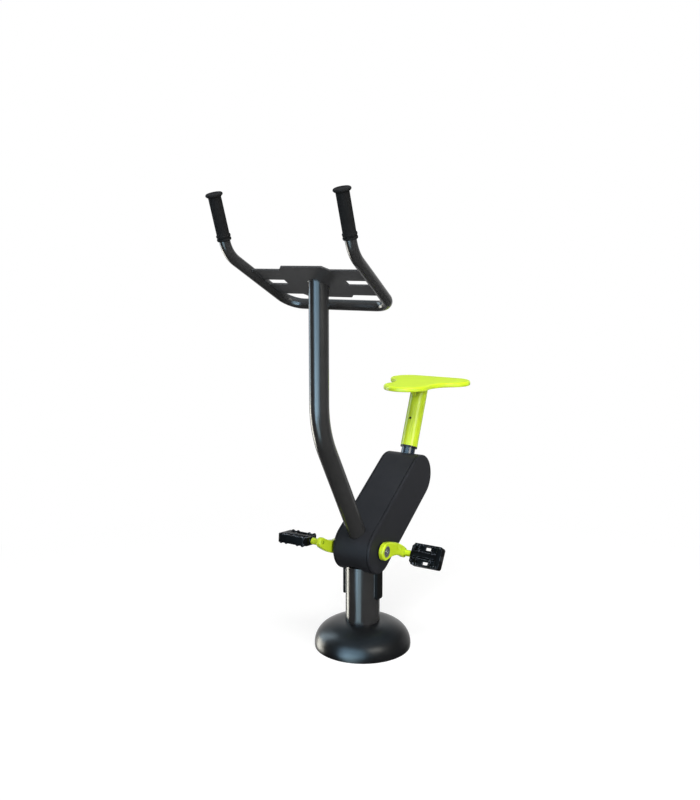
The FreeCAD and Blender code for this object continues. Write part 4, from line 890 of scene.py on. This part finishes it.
@dataclass
class Cockpit:
    """Stem, handlebar, console plate and the two grips."""

    rise_deg: float = 29.4
    base_ahead: float = 0.142
    base_high: float = 1.142
    base_half: float = 0.182
    bar_rad: float = 0.0165
    top_half: float = 0.213
    top_ahead: float = 0.412
    plate_thick: float = 0.005
    plate_back: float = 0.072
    plate_front: float = 0.220
    stem_rad: float = 0.03015
    stem_ahead: float = 0.257
    grip_lean_deg: float = 18.5
    grip_start: float = 0.0415
    grip_long: float = 0.1285
    grip_rad: float = 0.01875
    collar_rad: float = 0.021
    collar_wide: float = 0.007
    collar_gap: float = 0.003
    flange_rad: float = 0.025
    flange_thick: float = 0.009
    flutes: int = 36
    flute_deep: float = 0.00055
    flute_points: int = 8
    grip_fit: float = 0.0001
    neck: float = 0.0002
    collar_steps: int = 12
    body_steps: int = 24
    body_start: float = 0.0015
    body_spare: float = 0.006
    fillet: float = 0.0030
    fillet_drop: float = 0.0035
    flute_start: float = 0.003
    flute_end: float = 0.010
    flute_fade: float = 0.004
    collar_bulge: float = 0.45
    dish_rim: tuple[Pair, ...] = ((0.0035, 0.0), (0.0050, 0.0004), (0.0060, 0.0014))
    dish_floor: tuple[Pair, ...] = ((0.0080, 0.0020), (0.0040, 0.0018), (0.0, 0.0017))
    bead_inset: float = 0.004
    bead_points: int = 160

    def build(self) -> None:
        """Dress the tubes, lay the welds and make the grips."""
        dress(Finishes.FRAME_COAT, "stem", "handlebar")
        dress(Finishes.CONSOLE_COAT, "console_plate")
        self.welds()
        for name, side in (("grip_left", 1.0), ("grip_right", -1.0)):
            self.grip(name, side)

    def plane_point(self, across: float, along: float, lift: float) -> Vector:
        """Point by its distance to the side, forward from the base bar and above the handlebar's plane."""
        rise = radians(self.rise_deg)
        return Vector((across, -self.base_ahead - along * cos(rise) + lift * sin(rise),
                       self.base_high + along * sin(rise) + lift * cos(rise)))

    def welds(self) -> None:
        """Beads between stem, plate and arms."""
        shape = bmesh.new()
        half = self.plate_thick / 2.0
        rise = radians(self.rise_deg)
        path = []
        for i in range(self.bead_points):
            angle = 2.0 * pi * i / self.bead_points
            x, y = self.stem_rad * cos(angle), -self.stem_ahead + self.stem_rad * sin(angle)
            z = self.base_high + (-self.base_ahead - y) * tan(rise) - half / cos(rise)
            path.append(Vector((x, y, z - BEAD_DROP)))
        STEM_BEAD.lay(shape, path, closed=True)
        flare = (self.top_half - self.base_half) * cos(rise) / (self.top_ahead - self.base_ahead)
        near = self.base_half - sqrt(self.bar_rad ** 2 - half ** 2) - BEAD_OFF
        for side in SIDES:
            for face in SIDES:
                ends = [self.plane_point(side * (near + flare * along), along, face * (half + BEAD_OFF))
                        for along in (self.plate_back + self.bead_inset, self.plate_front - self.bead_inset)]
                FRAME_BEAD.lay(shape, straight(*ends))
        Maker("frame", Finishes.FRAME_COAT, "frame_black").piece("cockpit_welds", shape)

    def grip(self, name: str, side: float) -> None:
        """Fluted rubber grip with two collars and a dished end flange.

        Args:
            name: Name of the frame node.
            side: +1 on the rider's left, -1 on the right.
        """
        lean = radians(self.grip_lean_deg)
        direction = Vector((0.0, -sin(lean), cos(lean)))
        climb = (self.top_ahead - self.base_ahead) * tan(radians(self.rise_deg))
        corner = Vector((self.top_half * side, -self.top_ahead, self.base_high + climb))
        body_low = 2.0 * self.collar_wide + self.collar_gap
        profile = [(self.bar_rad + self.grip_fit, 0.0)]
        for low in (0.0, self.collar_wide + self.collar_gap):
            profile += self.collar(low)
        run = self.grip_long - body_low - self.body_spare
        profile += [(self.grip_rad, body_low + self.body_start + run * k / self.body_steps)
                    for k in range(self.body_steps + 1)]
        hollow = (self.grip_rad + self.fillet, self.grip_long - self.fillet_drop)
        profile += arc_profile(hollow, self.fillet, 180.0, 90.0, 5)
        rim = self.flange_thick / 2.0
        top = self.grip_long + self.flange_thick
        profile += arc_profile((self.flange_rad - rim, self.grip_long + rim), rim, -80.0, 90.0, 14)
        profile += [(self.flange_rad - rim - inside, top - deep) for inside, deep in self.dish_rim]
        profile += [(radius, top - deep) for radius, deep in self.dish_floor]

        def flute(height: float, angle: float) -> float:
            """Depth of the lengthwise flutes at a height and an angle."""
            inside = min(height - body_low - self.flute_start, self.grip_long - self.flute_end - height)
            share = max(0.0, min(1.0, inside / self.flute_fade))
            return -self.flute_deep * share * (0.5 - 0.5 * cos(self.flutes * angle))

        shape = bmesh.new()
        start = corner + direction * self.grip_start
        lathe(shape, start, direction, profile, self.flutes * self.flute_points, flute)
        maker = Maker("frame", Finishes.GRIP_RUBBER, "grip_rubber")
        maker.piece(f"{name}_rubber", shape, name, smooth_deg=50.0)

    def collar(self, low: float) -> list[Pair]:
        """Profile of one rounded collar.

        Args:
            low: Height of its lower side.

        Returns:
            Profile points.
        """
        half = self.collar_wide / 2.0
        swell = self.collar_rad - self.grip_rad
        neck = self.grip_rad + self.neck
        turns = [pi * k / self.collar_steps for k in range(1, self.collar_steps)]
        crown = [(self.grip_rad + swell * sin(turn) ** self.collar_bulge, low + half - half * cos(turn))
                 for turn in turns]
        return [(neck, low), *crown, (neck, low + self.collar_wide)]


@dataclass
class CrankSet:
    """Cranks, axle, belt drive and the bright caps in the hubs."""

    cap_in: float = 0.088
    cap_out: float = 0.0928
    cap_rad: float = 0.0206
    cap_round: float = 0.0040
    cap_points: int = 96
    lip: float = 0.0012
    lip_steps: tuple[Pair, ...] = ((0.0, 0.0002), (0.0006, 0.0007))
    face_steps: tuple[Pair, ...] = ((0.0110, 0.0012), (0.0085, 0.0013), (0.0, 0.0013))
    head_deep: float = 0.0016
    head: tuple[float, float, float, float] = (0.0082, 0.0017, 0.0046, 0.0012)

    def build(self) -> None:
        """Dress the cranks and make their caps."""
        dress(Finishes.LIME_COAT, "crank_arm_left", "crank_arm_right")
        dress(Finishes.BRIGHT_STEEL, "crank_axle", "drive_pulley")
        dress(Finishes.BELT_RUBBER, "drive_belt")
        self.caps()

    def caps(self) -> None:
        """Turned caps with a raised rim, a dished face and a six-sided socket."""
        shape = bmesh.new()
        thick = self.cap_out - self.cap_in
        flat = self.cap_rad - self.cap_round
        shoulder = arc_profile((flat, thick - self.cap_round), self.cap_round, 0.0, 90.0, 8)
        profile = [(0.0, 0.0), (self.cap_rad, 0.0), *shoulder]
        profile += [(flat - self.lip - inside, thick - deep) for inside, deep in self.lip_steps]
        profile += [(radius, thick - deep) for radius, deep in self.face_steps]
        for side in SIDES:
            seat = Vector((self.cap_in * side, 0.0, AXLE_HIGH))
            out = Vector((side, 0.0, 0.0))
            lathe(shape, seat, out, profile, self.cap_points)
            socket_head(shape, seat + out * (thick - self.head_deep), out, *self.head)
        Maker("crank", Finishes.BRIGHT_CAP, "bright_steel").piece("crank_caps", shape, "crank_bolts")


@dataclass
class Pedals:
    """Moulded pedals with ribbed pockets, two windows and rounded treads."""

    middle: float = 0.1754
    crank_long: float = 0.129
    crank_dip_deg: float = 16.4
    half_long: float = 0.0552
    half_wide: float = 0.0375
    half_thick: float = 0.0141
    corner: float = 0.011
    tip_corner: float = 0.005
    rim: float = 0.006
    rib: float = 0.003
    rib_in: float = 0.031
    rib_out: float = 0.017
    end: float = 0.019
    web_half: float = 0.004
    window_half_long: float = 0.010
    window_half_wide: float = 0.006
    window_off: float = 0.0253
    barrel_rad: float = 0.0125
    barrel_in: float = 0.0578
    spindle_rad: float = 0.0061
    cap_proud: float = 0.0007
    tread_rad: float = 0.006
    tread_high: float = 0.0035
    tread_in: float = 0.013
    tread_pitch: float = 0.020
    tread_wide: float = 0.005
    tread_soft: float = 0.0009
    tread_points: int = 40
    edge_soft: float = 0.0006
    outline_round: float = 0.004
    pocket_round: float = 0.0055
    pocket_in: float = 0.6
    window_round: float = 0.0012
    web_share: float = 0.95
    barrel_soft: float = 0.0012
    barrel_points: int = 48
    collar_steps: tuple[Pair, ...] = ((0.0, -0.004), (0.0008, -0.0022), (0.0008, 0.0022), (0.0, 0.004))
    left_tilt_deg: float = 60.0
    right_tilt_deg: float = -5.5

    def build(self) -> None:
        """Dress the spindles and caps and mould both pedals."""
        dress(Finishes.BLACK_MOULD, "pedal_cap_left", "pedal_cap_right")
        dress(Finishes.LIME_COAT, "pedal_spindle_left", "pedal_spindle_right")
        self.mould("pedal_left", 1.0, self.left_tilt_deg)
        self.mould("pedal_right", -1.0, self.right_tilt_deg)

    def mould(self, name: str, side: float, tilt_deg: float) -> None:
        """Mould one pedal in its own frame and set it on its spindle.

        Args:
            name: Name of the frame node.
            side: +1 on the rider's left, -1 on the right.
            tilt_deg: Turn about the spindle at rest.
        """
        shape = bmesh.new()
        self.tray(shape)
        self.barrel(shape)
        self.treads(shape)
        dip = radians(self.crank_dip_deg)
        at = Vector((self.middle * side, self.crank_long * cos(dip) * side,
                     AXLE_HIGH - self.crank_long * sin(dip) * side))
        place = Matrix.Translation(at) @ Matrix.Rotation(radians(tilt_deg), 4, "X")
        bmesh.ops.transform(shape, matrix=place @ Matrix.Diagonal((side, 1.0, 1.0, 1.0)), verts=shape.verts)
        Maker(f"{name}_body", Finishes.PEDAL_MOULD, "black_plastic").piece(f"{name}_mould", shape, name)

    def tray(self, shape: Shape) -> None:
        """Rim with rounded pockets on both faces, and the web with its windows between them.

        Args:
            shape: Mesh to add to.
        """
        long, wide, outer = self.half_long, self.half_wide, self.half_long - self.cap_proud
        cut, tip = self.corner, self.tip_corner
        outline = [(cut - long, -wide), (outer - tip, -wide), (outer, tip - wide), (outer, wide - tip),
                   (outer - tip, wide), (cut - long, wide), (-long, wide - cut), (-long, cut - wide)]
        half_rib, reach, near = self.rib / 2.0, wide - self.rim, self.barrel_rad * self.pocket_in
        runs = [(self.rim - long, -self.rib_in - half_rib, reach - cut / 4.0),
                (half_rib - self.rib_in, self.rib_out - half_rib, reach),
                (self.rib_out + half_rib, long - self.end, reach)]
        pockets = [rounded(block(low, high, *span), self.pocket_round)
                   for low, high, top in runs for span in ((near, top), (-top, -near))]
        plate(shape, [rounded(outline, self.outline_round), *pockets], self.half_thick, self.edge_soft)
        windows = [rounded(block(-self.window_half_long, self.window_half_long, at - self.window_half_wide,
                                 at + self.window_half_wide), self.window_round)
                   for at in (self.window_off, -self.window_off)]
        inset = [(x * self.web_share, y * self.web_share) for x, y in outline]
        plate(shape, [inset, *windows], self.web_half, self.edge_soft)

    def barrel(self, shape: Shape) -> None:
        """Barrel round the spindle, with a collar at each rib.

        Args:
            shape: Mesh to add to.
        """
        radius, soft = self.barrel_rad, self.barrel_soft
        end = self.half_long - self.rim + self.barrel_in
        profile = [(self.spindle_rad, 0.0), (radius - soft, 0.0),
                   *arc_profile((radius - soft, soft), soft, -60.0, 0.0, 4)]
        for at in (self.barrel_in - self.rib_in, self.barrel_in + self.rib_out):
            profile += [(radius + proud, at + along) for proud, along in self.collar_steps]
        profile += [(radius, end - soft), (radius - soft, end), (self.spindle_rad, end)]
        start = Vector((-self.barrel_in, 0.0, 0.0))
        lathe(shape, start, Vector((1.0, 0.0, 0.0)), profile, self.barrel_points)

    def treads(self, shape: Shape) -> None:
        """Rounded teeth on both long rims of both faces.

        Args:
            shape: Mesh to add to.
        """
        radius, soft, wide = self.tread_rad, self.tread_soft, self.tread_wide
        flat = radius - soft
        profile = [(0.0, 0.0), (flat, 0.0), *arc_profile((flat, soft), soft, -60.0, 0.0, 3),
                   *arc_profile((flat, wide - soft), soft, 0.0, 60.0, 3), (flat, wide), (0.0, wide)]
        first = self.half_long - self.tread_in
        rise = self.half_thick + self.tread_high - radius
        for start in (self.half_wide - self.rim, self.rim - self.half_wide - wide):
            for x in (first, first - self.tread_pitch, self.tread_pitch - first, -first):
                for z in (rise, -rise):
                    lathe(shape, Vector((x, start, z)), Vector((0.0, 1.0, 0.0)), profile, self.tread_points)


@dataclass
class Flywheel:
    """Braked flywheel inside the housing."""

    def build(self) -> None:
        """Dress the wheel, its axle and nuts."""
        dress(Finishes.CAST_WHEEL, "flywheel")
        dress(Finishes.BRIGHT_STEEL, "flywheel_pulley", "flywheel_axle", "flywheel_nuts")


@dataclass
class SeatUnit:
    """Mast, sliding sleeve and saddle."""

    lean_deg: float = 21.5
    saddle_at: float = 0.3261
    sleeve_rad: float = 0.03015
    gusset_half: float = 0.003
    pan_bead_drop: float = 0.0005
    sleeve_bead: Pair = (0.016, 0.050)
    pan_bead: Pair = (0.040, 0.072)
    bead_points: int = 150

    def build(self) -> None:
        """Dress the seat and lay its welds."""
        dress(Finishes.MAST_COAT, "seat_mast")
        # Sleeve, gusset and pan take the lime copy with the painted shadow under the saddle.
        dress(Finishes.SLEEVE_COAT, "seat_sleeve", "seat_gusset", "saddle_pan")
        dress(Finishes.BLACK_MOULD, "seat_bush")
        # Lock screw nearly black: black oxide, and painted shade of its hole.
        dress(Finishes.SOOT_BLACK, "lock_screw")
        dress(Finishes.DARK_SCREW, "saddle_screws")
        dress(Finishes.LIME_MOULD, "saddle")
        self.welds()

    def top(self) -> Vector:
        """Point where the sleeve's axis meets the saddle's underside."""
        lean = radians(self.lean_deg)
        return Vector((0.0, WHEEL_AT[0] + self.saddle_at * sin(lean),
                       WHEEL_AT[1] + self.saddle_at * cos(lean)))

    def welds(self) -> None:
        """Beads between sleeve, gusset and pan."""
        shape = bmesh.new()
        lean = radians(self.lean_deg)
        top = self.top()
        axis = Vector((0.0, sin(lean), cos(lean)))
        front = Vector((0.0, -cos(lean), sin(lean)))
        path = []
        for i in range(self.bead_points):
            angle = 2.0 * pi * i / self.bead_points
            at = top + (Vector((1.0, 0.0, 0.0)) * cos(angle) + front * sin(angle)) * self.sleeve_rad
            path.append(at + axis * ((top.z - BEAD_DROP - at.z) / axis.z))
        FRAME_BEAD.lay(shape, path, closed=True)
        seat = sqrt(self.sleeve_rad ** 2 - self.gusset_half ** 2)
        for side in SIDES:
            start = top + Vector((side * (self.gusset_half + BEAD_OFF), 0.0, 0.0))
            SEAT_BEAD.lay(shape, straight(*(start + front * (seat + BEAD_OFF) - axis * down
                                            for down in self.sleeve_bead)))
            SEAT_BEAD.lay(shape, straight(*(start + Vector((0.0, -ahead, -self.pan_bead_drop))
                                            for ahead in self.pan_bead)))
        Maker("seat", Finishes.LIME_COAT, "lime_paint").piece("seat_welds", shape)


# Studio

class PanelUse(Enum):
    """What a panel does: light the surfaces, or show in their gloss."""

    LAMP = "lamp"
    CARD = "card"


@dataclass
class Panel:
    """One soft light panel aimed at the bike."""

    name: str
    azimuth_deg: float
    height: float
    distance: float
    wide: float
    tall: float
    power: float
    colour: Colour = WHITE
    use: PanelUse = PanelUse.LAMP
    aim_high: float = 0.75

    def build(self) -> None:
        """Place the panel, facing the bike."""
        light = bpy.data.lights.new(self.name, "AREA")
        light.shape = "RECTANGLE"
        light.size = self.wide
        light.size_y = self.tall
        light.energy = self.power
        light.color = self.colour
        lamp = bpy.data.objects.new(self.name, light)
        angle = radians(self.azimuth_deg)
        lamp.location = (self.distance * sin(angle), -self.distance * cos(angle), self.height)
        level = self.height if self.use is PanelUse.CARD else min(self.height, self.aim_high)
        aim = Vector((0.0, 0.0, level)) - lamp.location
        lamp.rotation_mode = "QUATERNION"
        lamp.rotation_quaternion = aim.to_track_quat("-Z", "Y")
        lamp.visible_camera = False
        lamp.visible_glossy = self.use is PanelUse.CARD
        lamp.visible_diffuse = self.use is PanelUse.LAMP
        bpy.context.scene.collection.objects.link(lamp)


@dataclass
class Studio:
    """Camera, pale floor, white surround and soft panels."""

    eye: Point = (1.511043, -2.541643, 1.28779)
    azimuth_deg: float = 31.553
    pitch_deg: float = 8.816
    focal_px: float = 926.0
    picture_long_px: float = 800.0
    sensor: float = 36.0
    fill: float = 0.22
    room_dim: float = 0.07
    backdrop: float = 1.0
    backdrop_span: Pair = (0.6, 0.98)
    overhead_dim: float = 0.35
    overhead_span: Pair = (0.4, 0.9)
    overhead_tint: Colour = (0.50, 0.78, 1.0)
    floor_near: float = 0.6
    floor_far: float = 1.9
    floor_half: float = 40.0
    floor_seen: Colour = (0.30, 0.30, 0.30)
    floor_bounce: Colour = (0.40, 0.40, 0.40)
    floor_glow: float = 0.78
    sight: float = 200.0
    panels: list[Panel] = field(default_factory=lambda: [
        Panel("left_card", -88.0, -0.45, 3.2, 1.4, 1.6, 60.0, (1.0, 0.98, 0.88), PanelUse.CARD),
        Panel("left_high_card", -88.0, 2.15, 3.2, 1.4, 3.6, 66.0, (0.70, 0.88, 1.0), PanelUse.CARD),
        Panel("front_card", 2.0, -1.2, 4.2, 2.5, 3.6, 120.0, (0.60, 0.87, 1.0), PanelUse.CARD),
        Panel("stem_card", -11.0, 0.9, 4.1, 1.3, 4.2, 122.0, (0.46, 0.74, 1.0), PanelUse.CARD),
        Panel("wide_card", 15.0, 1.15, 4.2, 2.8, 3.7, 160.0, (0.46, 0.76, 1.0), PanelUse.CARD),
        Panel("right_card", 64.0, 2.1, 3.5, 1.8, 1.4, 48.0, (1.0, 1.0, 0.94), PanelUse.CARD),
        Panel("back_card", 152.0, 0.3, 4.0, 2.2, 2.2, 5.0, WHITE, PanelUse.CARD),
        Panel("front_lamp", 14.0, 1.6, 4.0, 2.6, 3.0, 36.0),
        Panel("left_lamp", -75.0, 1.4, 3.6, 2.2, 3.0, 12.0),
        Panel("right_lamp", 74.0, 1.2, 3.5, 2.0, 2.5, 68.0),
        Panel("top_lamp", 40.0, 4.0, 1.4, 2.0, 2.0, 122.0),
    ])

    def build(self) -> None:
        """Set up the whole studio."""
        bpy.context.scene.view_settings.view_transform = "Standard"
        self.camera()
        self.floor()
        self.surround()
        for panel in self.panels:
            panel.build()
            LOG.info("placed light %s", panel.name)

    def camera(self) -> None:
        """Camera at the photograph's place and angle."""
        data = bpy.data.cameras.new("camera")
        data.sensor_width = self.sensor
        data.lens = self.focal_px / self.picture_long_px * self.sensor
        data.clip_end = self.sight
        made = bpy.data.objects.new("camera", data)
        turn, dip = radians(self.azimuth_deg), radians(self.pitch_deg)
        look = Vector((-sin(turn) * cos(dip), cos(turn) * cos(dip), -sin(dip)))
        made.location = self.eye
        made.rotation_mode = "QUATERNION"
        made.rotation_quaternion = look.to_track_quat("-Z", "Y")
        bpy.context.scene.collection.objects.link(made)
        bpy.context.scene.camera = made

    def floor(self) -> None:
        """Pale floor that is white to the camera and keeps a soft shadow."""
        shape = bmesh.new()
        bmesh.ops.create_grid(shape, x_segments=1, y_segments=1, size=self.floor_half)
        mesh = bpy.data.meshes.new("floor")
        shape.to_mesh(mesh)
        shape.free()
        made = bpy.data.objects.new("floor", mesh)
        bpy.context.scene.collection.objects.link(made)
        paint = bpy.data.materials.new("pale_floor")
        paint.use_nodes = True
        desk = NodeDesk(paint.node_tree)
        shader = paint.node_tree.nodes["Principled BSDF"]
        path = desk.add("ShaderNodeLightPath")
        place = desk.add("ShaderNodeNewGeometry").outputs["Position"]
        away = desk.vector("LENGTH", place, ORIGIN, "Value")
        far = desk.spread(away, self.floor_near, self.floor_far)
        seen = desk.blend(far, self.floor_seen, BLACK)
        camera = path.outputs["Is Camera Ray"]
        desk.feed(shader.inputs["Base Color"], desk.blend(camera, self.floor_bounce, seen))
        shader.inputs["Roughness"].default_value = 1.0
        shader.inputs["Specular IOR Level"].default_value = 0.0
        shader.inputs["Emission Color"].default_value = (*WHITE, 1.0)
        glow = desk.spread(far, 0.0, 1.0, self.floor_glow, 1.0)
        desk.feed(shader.inputs["Emission Strength"], desk.times(camera, glow))
        mesh.materials.append(paint)
        made.visible_glossy = False

    def surround(self) -> None:
        """White backdrop, which reflections see behind the bike, and an even soft light for the rest."""
        world = bpy.data.worlds.new("surround")
        bpy.context.scene.world = world
        world.use_nodes = True
        desk = NodeDesk(world.node_tree)
        sky = world.node_tree.nodes["Background"]
        path = desk.add("ShaderNodeLightPath")
        seen = desk.sum("MAXIMUM", path.outputs["Is Camera Ray"], path.outputs["Is Transmission Ray"])
        turn = radians(self.azimuth_deg)
        way = desk.add("ShaderNodeTexCoord").outputs["Generated"]
        behind = desk.vector("DOT_PRODUCT", way, (-sin(turn), cos(turn), 0.0), "Value")
        above = desk.spread(desk.upward(way), *self.overhead_span)
        mirrored = desk.sum("ADD", desk.spread(behind, *self.backdrop_span, self.room_dim, self.backdrop),
                            desk.times(above, self.overhead_dim))
        glossy = path.outputs["Is Glossy Ray"]
        lit = desk.spread(glossy, 0.0, 1.0, self.fill, mirrored)
        tint = desk.blend(desk.times(above, glossy), WHITE, self.overhead_tint)
        desk.feed(sky.inputs["Color"], tint)
        desk.feed(sky.inputs["Strength"], desk.spread(seen, 0.0, 1.0, lit, 1.0))


def main() -> None:
    """Build and dress every sub-assembly in order, then the studio."""
    logging.basicConfig(level=logging.INFO, format="%(name)s: %(message)s")
    for kind in (BaseStand, DriveHousing, Cockpit, CrankSet, Pedals, Flywheel, SeatUnit, Studio):
        kind().build()
        LOG.info("finished %s", kind.__name__)


if __name__ == "__main__":
    main()
